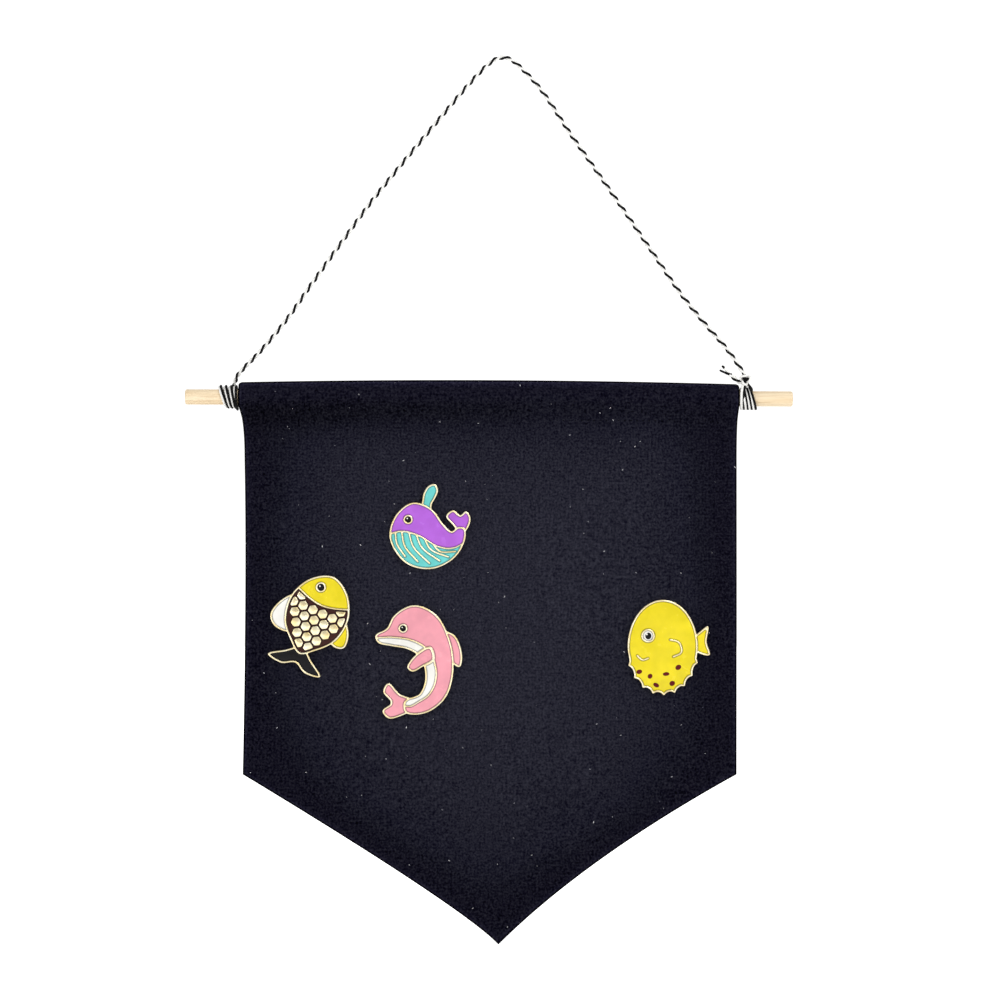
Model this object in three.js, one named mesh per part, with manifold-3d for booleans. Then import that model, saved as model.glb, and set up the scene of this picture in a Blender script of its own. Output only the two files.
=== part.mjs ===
// Pin badge board: a pointed canvas banner of two layers, hung from a wooden dowel by a loop of twine.
// Four enamel badges are pinned through the canvas, each held behind it by a butterfly clutch.
// Units are millimetres. The board is drawn as it faces the viewer, x right, y up and z towards the viewer,
// with the origin under the top of the twine loop, where a nail holds it. A last turn puts +Z up.

import * as THREE from "three";
import { mergeVertices } from "three/addons/utils/BufferGeometryUtils.js";
import Module from "manifold-3d";

const wasm = await Module();
wasm.setup();

// Dowel
const dowelDiameter = 5.6;
const leftOverhang = 21.4; // length that stands out past each side of the banner
const rightOverhang = 20.2;
const dowelChamfer = 0.4;
const dowelDrop = 122.3; // hang point down to the dowel's axis
const dowelSides = 24;

// Banner
const clothThickness = 0.6;
const layerGap = 0.3; // between the front and the back layer
const bannerWidth = 178.4;
const bannerShift = -4.5; // banner's middle, sideways from the hang point
const sideHeight = 143.1; // top edge down to the two lower corners
const pointDrop = 61.7; // lower corners down to the point
const pointShift = 3.15; // the point, sideways from the banner's middle
const leftHollow = 2; // how far the two slanted edges bow inwards
const rightHollow = 3.6;
const leftHollowAt = 0.84; // where they are pulled in, as a share of the way from corner to point
const rightHollowAt = 0.59;
const leftFlare = 2.2; // how much wider the pocket is than the cloth below it
const rightFlare = 0.9;
const flareLength = 13.5; // pocket's seam down to the cloth's own width
const topBow = 0.9; // rise of the top edge at the middle
const topTilt = 0.75; // the top edge's right end below its left end
const ridgeHeight = 6.6; // dowel's axis up to the pressed top edge
const ridgeDepth = 2.5; // height of the pressed edge above the pocket
const seamDrop = 8; // dowel's axis down to the pocket's seam
const pocketClearance = 0.3; // dowel to cloth, all round

// Twine
const cordDiameter = 1.5;
const cordSides = 8;
const cordSteps = 78;
const windingGap = 0.52; // between neighbouring turns
const windingSeat = 0.3; // dowel to twine
const leftTurns = 4;
const rightTurns = 2;
const stepsPerTurn = 24;
const windingSides = 6;
const windingFromCloth = 0.15;
const joinGap = 0.3; // between the ends of two stretches of twine
const knotRadius = 1.8;
const knotHeight = 3.8;
const knotFromCloth = 0.4;
const knotLift = 0.5; // knot above the turns, past the gap of a join
const tailReach = 7.4; // sideways run of the loose end
const tailRise = 3.1;

// The twine's free run, by hand: sideways and up from the hang point.
const cordRun = [
  [-96.7, -114.2], [-93.9, -111.0], [-88.4, -105.4], [-78.8, -93.9], [-68.6, -79.5], [-58.1, -65.0],
  [-47.4, -50.5], [-35.6, -36.0], [-23.5, -21.6], [-11.6, -7.7], [-6.0, -2.0], [-2.8, 0.4], [0, 1.05],
  [2.7, 0.4], [6.0, -2.2], [13.4, -10.2], [24.8, -27.3], [35.0, -41.9], [45.0, -56.4], [54.8, -70.9], [64.6, -85.2], [74.1, -97.2],
  [81.2, -105.2], [85.2, -109.3],
];

// Badges
const plateThickness = 1.5;
const rimWidth = 0.6;
const lineWidth = 0.55; // raised metal lines between the enamel fields
const wellDepth = 0.5;
const enamelThickness = 0.34;
const enamelClearance = 0.08;
const badgeSeat = 0.3; // cloth to the solder pad
const padRadius = 1.6;
const padThickness = 0.3;
const padGap = 0.1;
const postDiameter = 1.2;
const postLength = 6.9; // behind the plate
const tipLength = 1.2;
const holeClearance = 0.25;
const roundSides = 10;

// Butterfly clutch
const capRadius = 5.5;
const capThickness = 0.5;
const capRimWidth = 0.4;
const capRimHeight = 0.9;
const collarWidth = 0.8;
const collarHeight = 0.8;
const capSides = 14;
const clutchSeat = 0.3; // cloth to the cap
const wingThickness = 0.35;
const wingWidth = 4.2;
const wingSeat = 0.3;
const wingRoot = 4; // post's axis to the bend that the wing turns on
const leafRise = 1.9; // cap's face up to the lower leaf's middle
const leafStep = 1.1; // lower leaf to upper leaf
const leafPast = 1.5; // reach of each leaf past the post's axis
const leafShoulder = 2.6;
const gripGap = 0.25;
const slotLength = 2.2;
const tabReach = 1.9; // root out to the tab's widest place
const tabRise = 3.7; // root up to the tab's end

// Places that follow from the sizes above
const dowelRadius = dowelDiameter / 2;
const dowelAxis = -dowelDrop;
const bannerTop = dowelAxis + ridgeHeight;
const bannerLeft = bannerShift - bannerWidth / 2;
const bannerRight = bannerShift + bannerWidth / 2;
const cornerLevel = bannerTop - sideHeight;
const pointLevel = cornerLevel - pointDrop;
const clothFace = layerGap / 2 + clothThickness; // outer face of either layer, from the middle plane
const cordRadius = cordDiameter / 2;
const windingRadius = dowelRadius + windingSeat + cordRadius;
const windingPitch = cordDiameter + windingGap;
const leftWindingStart = bannerLeft - leftFlare - windingFromCloth - cordRadius;
const rightWindingStart = bannerRight + rightFlare + windingFromCloth + cordRadius;
const knotX = bannerRight + rightFlare + knotFromCloth + knotRadius;
const knotBottom = dowelAxis + windingRadius + cordRadius + joinGap + knotLift;
const plateBack = clothFace + badgeSeat + padThickness + padGap;
const plateFront = plateBack + plateThickness;
const postRadius = postDiameter / 2;
const capFace = clothFace + clutchSeat; // the cap's face against the cloth, behind the middle plane

// The four drawings. Widths and heights are the badge's own. fromLeft and down lead from the banner's top left
// corner to the drawing's middle, and post is where the post stands, as shares of its width and height.
const whale = { width: 28.6, height: 30.4, fromLeft: 67.1, down: 53.4, eyeRadius: 1.15 };
const dolphin = { width: 31, height: 40.2, fromLeft: 62.8, down: 101.7, eyeRadius: 1.1 };
const fish = { width: 35, height: 29, fromLeft: 25.4, down: 87.1, eyeRadius: 1.3, scaleLine: 0.6 };
const puffer = { width: 29.4, height: 35, fromLeft: 153.2, down: 96.9, eyeRadius: 1.9 };
const posts = [[-0.03, -0.03], [0.12, 0.16], [0.02, 0.03], [-0.06, 0.08]];
const tilts = [0, 0, THREE.MathUtils.degToRad(66), 0];
[whale, dolphin, fish, puffer].forEach((figure, index) => {
  figure.x = bannerLeft + figure.fromLeft;
  figure.y = bannerTop - figure.down;
  figure.post = posts[index];
  figure.tilt = tilts[index];
});

// Finishes
const finish = (color, roughness, metalness = 0) => new THREE.MeshStandardMaterial({ color, roughness, metalness });
const canvas = finish(0x1c1c26, 0.95);
const pine = finish(0xe9cfa6, 0.7);
const twine = finish(0x8d8c8a, 0.9);
const gold = finish(0xd8b25a, 0.3, 1);
const brass = finish(0xb9a15c, 0.35, 1);
const steel = finish(0xb8b8b4, 0.3, 1);
const violet = finish(0x9a4fd0, 0.25);
const turquoise = finish(0x55c9cc, 0.25);
const pink = finish(0xf5a3b3, 0.25);
const white = finish(0xf4f2ea, 0.25);
const black = finish(0x15141a, 0.25);
const yellow = finish(0xf2d21c, 0.25);
const umber = finish(0x3a1d16, 0.3);

// Solids
function solidOf(geometry) {
  const bare = geometry.clone();
  bare.deleteAttribute("normal");
  bare.deleteAttribute("uv");
  const merged = mergeVertices(bare, 1e-4);
  const vertProperties = merged.getAttribute("position").array;
  const triVerts = new Uint32Array(merged.index.array);
  return new wasm.Manifold(new wasm.Mesh({ numProp: 3, vertProperties, triVerts }));
}

function geometryOf(solid) {
  const mesh = solid.getMesh();
  const geometry = new THREE.BufferGeometry();
  geometry.setAttribute("position", new THREE.BufferAttribute(mesh.vertProperties, 3));
  geometry.setIndex(new THREE.BufferAttribute(mesh.triVerts, 1));
  return geometry;
}

function piece(name, shape, material) {
  const mesh = new THREE.Mesh(shape.isBufferGeometry ? shape : geometryOf(shape), material);
  mesh.name = name;
  return mesh;
}

// A flat outline with depth, from back to front along z.
function prism(outline, [back, front]) {
  const geometry = new THREE.ExtrudeGeometry(new THREE.Shape(outline), { depth: front - back, bevelEnabled: false });
  return solidOf(geometry.translate(0, 0, back));
}

function disc(x, y, radius, sides = roundSides, turn = 0) {
  const angle = (side) => turn + (side / sides) * 2 * Math.PI;
  return Array.from({ length: sides }, (_, side) =>
    new THREE.Vector2(x + radius * Math.cos(angle(side)), y + radius * Math.sin(angle(side))));
}

// A round tube along a path, with flat ends.
function tube(points, radius, sides, steps) {
  const path = new THREE.CatmullRomCurve3(points, false, "centripetal");
  path.arcLengthDivisions = points.length * 8;
  return new THREE.ExtrudeGeometry(new THREE.Shape(disc(0, 0, radius, sides)), { steps, extrudePath: path });
}

// Dowel
function dowelPiece() {
  const left = bannerLeft - leftOverhang;
  const right = bannerRight + rightOverhang;
  const profile = [
    [0, left], [dowelRadius - dowelChamfer, left], [dowelRadius, left + dowelChamfer],
    [dowelRadius, right - dowelChamfer], [dowelRadius - dowelChamfer, right], [0, right],
  ].map(([r, along]) => new THREE.Vector2(r, along));
  const geometry = new THREE.LatheGeometry(profile, dowelSides).rotateZ(-Math.PI / 2);
  return piece("dowel", geometry.translate(0, dowelAxis, 0), pine);
}

// Banner: one face of a layer in side view, from the pressed top edge round the dowel to below the point.
function layerFace(flat, radius) {
  const ridgeFoot = ridgeHeight - ridgeDepth;
  const above = Math.atan2(ridgeFoot, flat) - Math.acos(radius / Math.hypot(flat, ridgeFoot));
  const below = Math.atan2(-seamDrop, flat) + Math.acos(radius / Math.hypot(flat, seamDrop));
  const arcSteps = 8;
  const points = [[flat, ridgeHeight + 2 * topBow], [flat, ridgeFoot]];
  for (let step = 0; step <= arcSteps; step++) {
    const angle = above + ((below - above) * step) / arcSteps;
    points.push([radius * Math.cos(angle), radius * Math.sin(angle)]);
  }
  points.push([flat, -seamDrop], [flat, pointLevel - dowelAxis - clothThickness]);
  return points;
}

function bannerOutline() {
  const shape = new THREE.Shape();
  const pointX = bannerShift + pointShift;
  const pocketFoot = dowelAxis - dowelRadius; // the pocket keeps its width down to the dowel's underside
  const seamLevel = dowelAxis - seamDrop;
  const bowed = (fromX, fromY, toX, toY, hollow, share) => {
    const run = new THREE.Vector2(toX - fromX, toY - fromY);
    const pull = new THREE.Vector2(-run.y, run.x).normalize().multiplyScalar(2 * hollow);
    pull.add(run.multiplyScalar(share));
    shape.quadraticCurveTo(fromX + pull.x, fromY + pull.y, toX, toY);
  };
  shape.moveTo(bannerLeft - leftFlare, bannerTop - topBow);
  shape.lineTo(bannerLeft - leftFlare, pocketFoot);
  shape.quadraticCurveTo(bannerLeft, seamLevel, bannerLeft, seamLevel - flareLength);
  shape.lineTo(bannerLeft, cornerLevel);
  bowed(bannerLeft, cornerLevel, pointX, pointLevel, leftHollow, leftHollowAt);
  bowed(pointX, pointLevel, bannerRight, cornerLevel, rightHollow, 1 - rightHollowAt);
  shape.lineTo(bannerRight, seamLevel - flareLength);
  shape.quadraticCurveTo(bannerRight, seamLevel, bannerRight + rightFlare, pocketFoot);
  shape.lineTo(bannerRight + rightFlare, bannerTop - topBow - topTilt);
  shape.quadraticCurveTo(bannerShift, bannerTop + topBow, bannerLeft - leftFlare, bannerTop - topBow);
  const edgeSteps = 8;
  return shape.getPoints(edgeSteps);
}

function bannerLayer(name, side) {
  const inner = layerFace(layerGap / 2, dowelRadius + pocketClearance);
  const outer = layerFace(clothFace, dowelRadius + pocketClearance + clothThickness);
  const section = [...inner, ...outer.reverse()].map(([depth, up]) => new THREE.Vector2(side * depth, up));
  const span = bannerWidth + 2 * (leftFlare + rightFlare);
  const sheet = new THREE.ExtrudeGeometry(new THREE.Shape(section), { depth: span, bevelEnabled: false });
  sheet.rotateY(-Math.PI / 2).translate(bannerShift + span / 2, dowelAxis, 0);
  const reach = dowelRadius + pocketClearance + 2 * clothThickness;
  let layer = solidOf(sheet).intersect(prism(bannerOutline(), [-reach, reach]));
  for (const figure of [whale, dolphin, fish, puffer]) {
    const [x, y] = postPlace(figure);
    layer = layer.subtract(prism(disc(x, y, postRadius + holeClearance), [-reach, reach]));
  }
  return piece(name, layer, canvas);
}

// Twine: from above, down one side of the dowel, then round it and outwards. Side 1 is the front and -1 the back.
function windingPoints(startX, outward, turns, side, leadIn, firstStep) {
  const points = leadIn.map((point) => point.clone());
  const steps = turns * stepsPerTurn;
  for (let step = firstStep; step <= steps; step++) {
    const angle = (step / stepsPerTurn) * 2 * Math.PI;
    points.push(new THREE.Vector3(
      startX + (outward * windingPitch * step) / stepsPerTurn,
      dowelAxis - windingRadius * Math.sin(angle),
      side * windingRadius * Math.cos(angle),
    ));
  }
  const last = points.at(-1);
  points.push(last.clone().add(last.clone().sub(points.at(-2)).setLength(cordDiameter)));
  return points;
}

function leastGap(points) {
  const apart = Math.ceil(stepsPerTurn / 2);
  let least = Infinity;
  points.forEach((point, index) => {
    for (const other of points.slice(index + apart)) least = Math.min(least, point.distanceTo(other));
  });
  return least - cordDiameter;
}

function winding(name, ...shape) {
  const points = windingPoints(...shape);
  console.log(`${name}: least gap to itself ${leastGap(points).toFixed(2)} mm`);
  return piece(name, tube(points, cordRadius, windingSides, points.length - 1), twine);
}

// The left end of the free run comes down behind the dowel.
function leftLead() {
  return [1, 0.5].map((share) =>
    new THREE.Vector3(leftWindingStart, dowelAxis + share * cordDiameter, -windingRadius));
}

// The right winding leaves the knot downwards, and crosses in front of its own second turn to the banner's side.
function rightLead() {
  const foot = knotBottom - joinGap;
  const crossing = (share, depth) => new THREE.Vector3(
    THREE.MathUtils.lerp(knotX, rightWindingStart, share),
    THREE.MathUtils.lerp(foot, dowelAxis, share),
    depth,
  );
  return [
    new THREE.Vector3(knotX, foot, windingRadius),
    new THREE.Vector3(knotX, foot - cordRadius, windingRadius + 0.2 * cordRadius),
    crossing(0.5, windingRadius + 0.9 * cordDiameter),
    crossing(0.8, windingRadius + 0.7 * cordDiameter),
  ];
}

function knotPiece() {
  const half = knotHeight / 2;
  const end = knotRadius * 0.6;
  const profile = [
    [0, -half], [end, -half], [knotRadius * 0.92, -half / 2], [knotRadius, 0],
    [knotRadius * 0.92, half / 2], [end, half], [0, half],
  ].map(([r, up]) => new THREE.Vector2(r, up));
  const geometry = new THREE.LatheGeometry(profile, roundSides);
  return piece("cord_knot", geometry.translate(knotX, knotBottom + half, windingRadius), twine);
}

function cordPieces() {
  const leftTop = dowelAxis + cordDiameter + joinGap;
  const knotTop = knotBottom + knotHeight + joinGap;
  const depthAt = (x, y) => Math.sign(x) * Math.max(0, (windingRadius * y) / dowelAxis); // from the nail outwards
  const free = [
    new THREE.Vector3(leftWindingStart, leftTop, -windingRadius),
    new THREE.Vector3(leftWindingStart, leftTop + 2 * cordDiameter, -windingRadius),
    ...cordRun.map(([x, y]) => new THREE.Vector3(x, y, depthAt(x, y))),
    new THREE.Vector3(knotX, knotTop + cordDiameter, windingRadius),
    new THREE.Vector3(knotX, knotTop, windingRadius),
  ];
  const tailStart = new THREE.Vector3(knotX - knotRadius - joinGap, knotBottom + knotHeight / 2, windingRadius);
  const tailEnd = tailStart.clone().add(new THREE.Vector3(-tailReach, tailRise, 0));
  const tailMiddle = tailStart.clone().lerp(tailEnd, 0.5).add(new THREE.Vector3(0, cordRadius / 2, 0));
  const tailSteps = 4;
  return [
    piece("hanging_cord", tube(free, cordRadius, cordSides, cordSteps), twine),
    winding("left_winding", leftWindingStart, -1, leftTurns, -1, leftLead(), 0),
    winding("right_winding", rightWindingStart, 1, rightTurns, 1, rightLead(), 2),
    knotPiece(),
    piece("cord_tail", tube([tailStart, tailMiddle, tailEnd], cordRadius, cordSides, tailSteps), twine),
  ];
}

// Drawings: shares of a drawing's width and height become millimetres on the banner.
function placed(figure, [across, up]) {
  const point = new THREE.Vector2(across * figure.width, up * figure.height);
  return point.rotateAround(new THREE.Vector2(), figure.tilt).add(new THREE.Vector2(figure.x, figure.y));
}

function postPlace(figure) {
  return placed(figure, figure.post).toArray();
}

function curveThrough(figure, shares, closed, samples) {
  const points = shares.map((share) => new THREE.Vector3(...placed(figure, share).toArray(), 0));
  const curve = new THREE.CatmullRomCurve3(points, closed, "centripetal");
  const along = curve.getPoints(samples).map(({ x, y }) => new THREE.Vector2(x, y));
  return closed ? along.slice(0, -1) : along;
}

const blob = (figure, shares, samples = 32) => curveThrough(figure, shares, true, samples);

function distanceTo(outline, point) {
  const spots = outline.map((start, index) => {
    const edge = outline[(index + 1) % outline.length].clone().sub(start);
    const along = THREE.MathUtils.clamp(point.clone().sub(start).dot(edge) / edge.lengthSq(), 0, 1);
    return start.clone().addScaledVector(edge, along).distanceTo(point);
  });
  return Math.min(...spots);
}

// An outline moved inwards by a distance, or outwards by a negative one. Points that fold over are left out.
function inset(outline, distance) {
  const ring = THREE.ShapeUtils.area(outline) < 0 ? [...outline].reverse() : outline;
  const leastCosine = 0.5;
  const moved = ring.map((point, index) => {
    const before = ring.at(index - 1);
    const after = ring[(index + 1) % ring.length];
    const inwards = (from, to) => new THREE.Vector2(from.y - to.y, to.x - from.x).normalize();
    const first = inwards(before, point);
    const middle = first.clone().add(inwards(point, after)).normalize();
    return point.clone().add(middle.multiplyScalar(distance / Math.max(leastCosine, middle.dot(first))));
  });
  const tolerance = 0.01;
  return moved.filter((point) => distanceTo(ring, point) > Math.abs(distance) - tolerance);
}

// A line of some width along a curve.
function strip(figure, shares, width, samples = 8) {
  const line = curveThrough(figure, shares, false, samples);
  const side = (sign) => line.map((point, index) => {
    const before = line[Math.max(0, index - 1)];
    const after = line[Math.min(line.length - 1, index + 1)];
    const across = new THREE.Vector2(before.y - after.y, after.x - before.x).setLength((sign * width) / 2);
    return point.clone().add(across);
  });
  return [...side(1), ...side(-1).reverse()];
}

// Badge: a plate with sunk wells, and an enamel fill in each. A field gives its own prism for a clearance and a span.
function badgePieces(name, outlines, fields) {
  const wellFloor = plateFront - wellDepth;
  const fillBack = wellFloor + enamelClearance;
  let plate = outlines.map((outline) => prism(outline, [plateBack, plateFront])).reduce((a, b) => a.add(b));
  const fills = fields.map(({ part, material, field }) => {
    plate = plate.subtract(field(0, [wellFloor, plateFront + wellDepth]));
    return piece(`${name}_${part}`, field(enamelClearance, [fillBack, fillBack + enamelThickness]), material);
  });
  return [piece(`${name}_plate`, plate, gold), ...fills];
}

function eyeField(figure, share, radius) {
  const [x, y] = placed(figure, share).toArray();
  return (clear, span) => prism(disc(x, y, radius - clear), span);
}

const joined = (outlines, span) => outlines.map((outline) => prism(outline, span)).reduce((a, b) => a.add(b));

function whaleBadge() {
  const body = blob(whale, [
    [-0.5, -0.14], [-0.44, 0.12], [-0.22, 0.29], [0.02, 0.22], [0.18, 0.03], [0.28, -0.05], [0.36, 0],
    [0.45, -0.02], [0.44, -0.18], [0.3, -0.38], [0.02, -0.5], [-0.3, -0.43],
  ], 40);
  const fluke = blob(whale, [
    [0.4, -0.09], [0.3, 0.02], [0.21, 0.13], [0.3, 0.2], [0.39, 0.14], [0.46, 0.19], [0.52, 0.11], [0.48, -0.02],
  ], 24);
  const spout = blob(whale, [
    [-0.11, 0.2], [-0.09, 0.31], [-0.07, 0.41], [-0.01, 0.49], [0.07, 0.51], [0.11, 0.44], [0.07, 0.34], [0.03, 0.27],
    [0.02, 0.16],
  ], 24);
  const mouth = [[-0.56, -0.1], [-0.35, -0.05], [-0.12, -0.11], [0.1, -0.23], [0.3, -0.25], [0.52, -0.13]];
  const grooves = [
    [[-0.43, -0.05], [-0.41, -0.2], [-0.3, -0.36]],
    [[-0.35, -0.04], [-0.31, -0.23], [-0.14, -0.42]],
    [[-0.26, -0.05], [-0.2, -0.24], [0.01, -0.44]],
    [[-0.17, -0.08], [-0.09, -0.25], [0.14, -0.41]],
    [[-0.07, -0.12], [0.02, -0.27], [0.25, -0.36]],
    [[0.03, -0.18], [0.13, -0.29], [0.34, -0.29]],
  ];
  const belly = (shift) => {
    const line = curveThrough(whale, mouth, false, 12).map((point) => point.clone().add(new THREE.Vector2(0, shift)));
    const low = placed(whale, [0, -0.6]).y;
    return [...line, new THREE.Vector2(line.at(-1).x, low), new THREE.Vector2(line[0].x, low)];
  };
  const eye = [-0.27, 0.09];
  const { eyeRadius } = whale;
  const half = lineWidth / 2;
  const backField = (clear, span) => prism(inset(body, rimWidth + clear), span)
    .subtract(prism(belly(half + clear), span))
    .subtract(prism(disc(...placed(whale, eye).toArray(), eyeRadius + lineWidth + clear), span));
  const bellyField = (clear, span) => prism(inset(body, rimWidth + clear), span)
    .intersect(prism(belly(-half - clear), span))
    .subtract(joined(grooves.map((groove) => strip(whale, groove, lineWidth + 2 * clear, 6)), span));
  const besideBody = (outline) => (clear, span) =>
    prism(inset(outline, rimWidth + clear), span).subtract(prism(inset(body, -clear), span));
  return badgePieces("whale", [body, fluke, spout], [
    { part: "back_enamel", material: violet, field: backField },
    { part: "belly_enamel", material: turquoise, field: bellyField },
    { part: "fluke_enamel", material: violet, field: besideBody(fluke) },
    { part: "spout_enamel", material: turquoise, field: besideBody(spout) },
    { part: "eye_enamel", material: black, field: eyeField(whale, eye, eyeRadius) },
  ]);
}

function dolphinBadge() {
  const body = blob(dolphin, [
    [-0.49, 0.23], [-0.36, 0.29], [-0.27, 0.41], [-0.04, 0.5], [0.22, 0.41], [0.38, 0.18], [0.42, -0.08],
    [0.33, -0.33], [0.1, -0.47], [-0.14, -0.47], [-0.15, -0.36], [0.02, -0.3], [0.09, -0.16], [0.04, 0.02],
    [-0.11, 0.1], [-0.3, 0.13], [-0.46, 0.16],
  ], 48);
  const fluke = blob(dolphin, [
    [-0.07, -0.35], [-0.21, -0.3], [-0.34, -0.2], [-0.4, -0.28], [-0.31, -0.38], [-0.41, -0.45], [-0.34, -0.52],
    [-0.2, -0.5], [-0.07, -0.44],
  ], 28);
  const fin = blob(dolphin, [[0.3, 0.26], [0.44, 0.22], [0.52, 0.05], [0.49, -0.06], [0.4, -0.02], [0.32, 0.06]], 20);
  const flipper = blob(dolphin, [[0.15, 0.12], [-0.01, 0.06], [-0.12, -0.06], [-0.06, -0.1], [0.07, -0.05], [0.19, 0.01]], 20);
  const bellyLine = [[-0.56, 0.2], [-0.3, 0.21], [-0.06, 0.18], [0.14, 0.08], [0.22, -0.12], [0.14, -0.3], [-0.08, -0.41]];
  const belly = (shift) => {
    const line = curveThrough(dolphin, bellyLine, false, 14);
    const shifted = strip(dolphin, bellyLine, 2 * Math.abs(shift), 14);
    const side = shift < 0 ? shifted.slice(line.length).reverse() : shifted.slice(0, line.length);
    const left = placed(dolphin, [-0.7, 0]).x;
    return [...side, new THREE.Vector2(left, side.at(-1).y), new THREE.Vector2(left, side[0].y)];
  };
  const eye = [-0.17, 0.29];
  const { eyeRadius } = dolphin;
  const half = lineWidth / 2;
  const flipperRim = (clear, span) => prism(inset(flipper, -lineWidth / 2 - clear), span);
  const backField = (clear, span) => prism(inset(body, rimWidth + clear), span)
    .subtract(prism(belly(half + clear), span))
    .subtract(flipperRim(clear, span))
    .subtract(prism(disc(...placed(dolphin, eye).toArray(), eyeRadius + lineWidth + clear), span));
  const flipperLevel = 0.04;
  const beyondFlipper = (end) => [[-0.6, flipperLevel], [0.6, flipperLevel], [0.6, end], [-0.6, end]]
    .map((share) => placed(dolphin, share));
  const paleField = (end) => (clear, span) => prism(inset(body, rimWidth + clear), span)
    .intersect(prism(belly(-half - clear), span))
    .intersect(prism(beyondFlipper(end), span))
    .subtract(flipperRim(clear, span));
  const besideBody = (outline) => (clear, span) =>
    prism(inset(outline, rimWidth + clear), span).subtract(prism(inset(body, -clear), span));
  return badgePieces("dolphin", [body, fluke, fin, flipper], [
    { part: "back_enamel", material: pink, field: backField },
    { part: "throat_enamel", material: white, field: paleField(0.6) },
    { part: "belly_enamel", material: white, field: paleField(-0.6) },
    { part: "fluke_enamel", material: pink, field: besideBody(fluke) },
    { part: "fin_enamel", material: pink, field: besideBody(fin) },
    { part: "flipper_enamel", material: pink, field: (clear, span) => prism(inset(flipper, rimWidth + clear), span) },
    { part: "eye_enamel", material: black, field: eyeField(dolphin, eye, eyeRadius) },
  ]);
}

function fishBadge() {
  const body = blob(fish, [
    [0.49, 0], [0.38, 0.25], [0.14, 0.39], [-0.12, 0.34], [-0.29, 0.16], [-0.38, 0], [-0.29, -0.16], [-0.12, -0.34],
    [0.14, -0.39], [0.38, -0.25],
  ], 44);
  const tail = blob(fish, [
    [-0.3, 0], [-0.4, 0.18], [-0.51, 0.36], [-0.54, 0.16], [-0.48, 0], [-0.54, -0.16], [-0.51, -0.36], [-0.4, -0.18],
  ], 32);
  const topFin = blob(fish, [[0.2, 0.3], [0.08, 0.46], [-0.12, 0.53], [-0.22, 0.42], [-0.2, 0.2], [0, 0.24]], 24);
  const lowFin = blob(fish, [[0.16, -0.3], [0.02, -0.46], [-0.14, -0.48], [-0.17, -0.36], [-0.08, -0.22]], 24);
  const gill = [[0.3, 0.5], [0.2, 0.2], [0.17, 0], [0.2, -0.2], [0.3, -0.5]];
  const head = (shift) => {
    const line = curveThrough(fish, gill, false, 12).map((point) =>
      point.clone().add(new THREE.Vector2(shift, 0).rotateAround(new THREE.Vector2(), fish.tilt)));
    return [...line, placed(fish, [0.7, -0.5]), placed(fish, [0.7, 0.5])];
  };
  const half = lineWidth / 2;
  // Rows and columns of scales follow the drawing's size. Those at the edge are cut off along it, and a scale
  // that would be left with less than a share of its face is left out.
  const scaleRow = 0.0936;
  const scaleColumn = 0.1324;
  const leastScale = 0.3;
  const scaleSides = 6;
  const scalePitch = Math.min(
    scaleColumn * fish.height,
    Math.hypot(scaleRow * fish.width, (scaleColumn * fish.height) / 2),
  );
  const scaleRadius = (scalePitch - fish.scaleLine) / Math.sqrt(3);
  const scaleOn = ({ x, y }, clear, span) => prism(disc(x, y, scaleRadius + clear, scaleSides, fish.tilt), span)
    .intersect(prism(inset(body, rimWidth + fish.scaleLine - clear), span))
    .subtract(prism(head(-half - fish.scaleLine + clear), span));
  const wholeScale = prism(disc(0, 0, scaleRadius, scaleSides), [0, 1]).volume();
  const scales = [];
  for (let row = -4; row <= 4; row++) {
    for (let column = -4; column <= 4; column++) {
      const spot = placed(fish, [row * scaleRow, (column + (row % 2) / 2) * scaleColumn]);
      if (scaleOn(spot, 0, [0, 1]).volume() > leastScale * wholeScale) scales.push(spot);
    }
  }
  const scaleIslands = (clear, span) => scales.map((spot) => scaleOn(spot, clear, span)).reduce((a, b) => a.add(b));
  const eye = [0.34, 0.09];
  const { eyeRadius } = fish;
  const netField = (clear, span) => prism(inset(body, rimWidth + clear), span)
    .subtract(prism(head(-half - clear), span))
    .subtract(scaleIslands(clear, span));
  const headField = (clear, span) => prism(inset(body, rimWidth + clear), span)
    .intersect(prism(head(half + clear), span))
    .subtract(prism(disc(...placed(fish, eye).toArray(), eyeRadius + lineWidth + clear), span));
  const besideBody = (outline) => (clear, span) =>
    prism(inset(outline, rimWidth + clear), span).subtract(prism(inset(body, -clear), span));
  return badgePieces("fish", [body, tail, topFin, lowFin], [
    { part: "net_enamel", material: umber, field: netField },
    { part: "head_enamel", material: yellow, field: headField },
    { part: "tail_enamel", material: black, field: besideBody(tail) },
    { part: "top_fin_enamel", material: white, field: besideBody(topFin) },
    { part: "low_fin_enamel", material: yellow, field: besideBody(lowFin) },
    { part: "eye_enamel", material: black, field: eyeField(fish, eye, eyeRadius) },
  ]);
}

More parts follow.
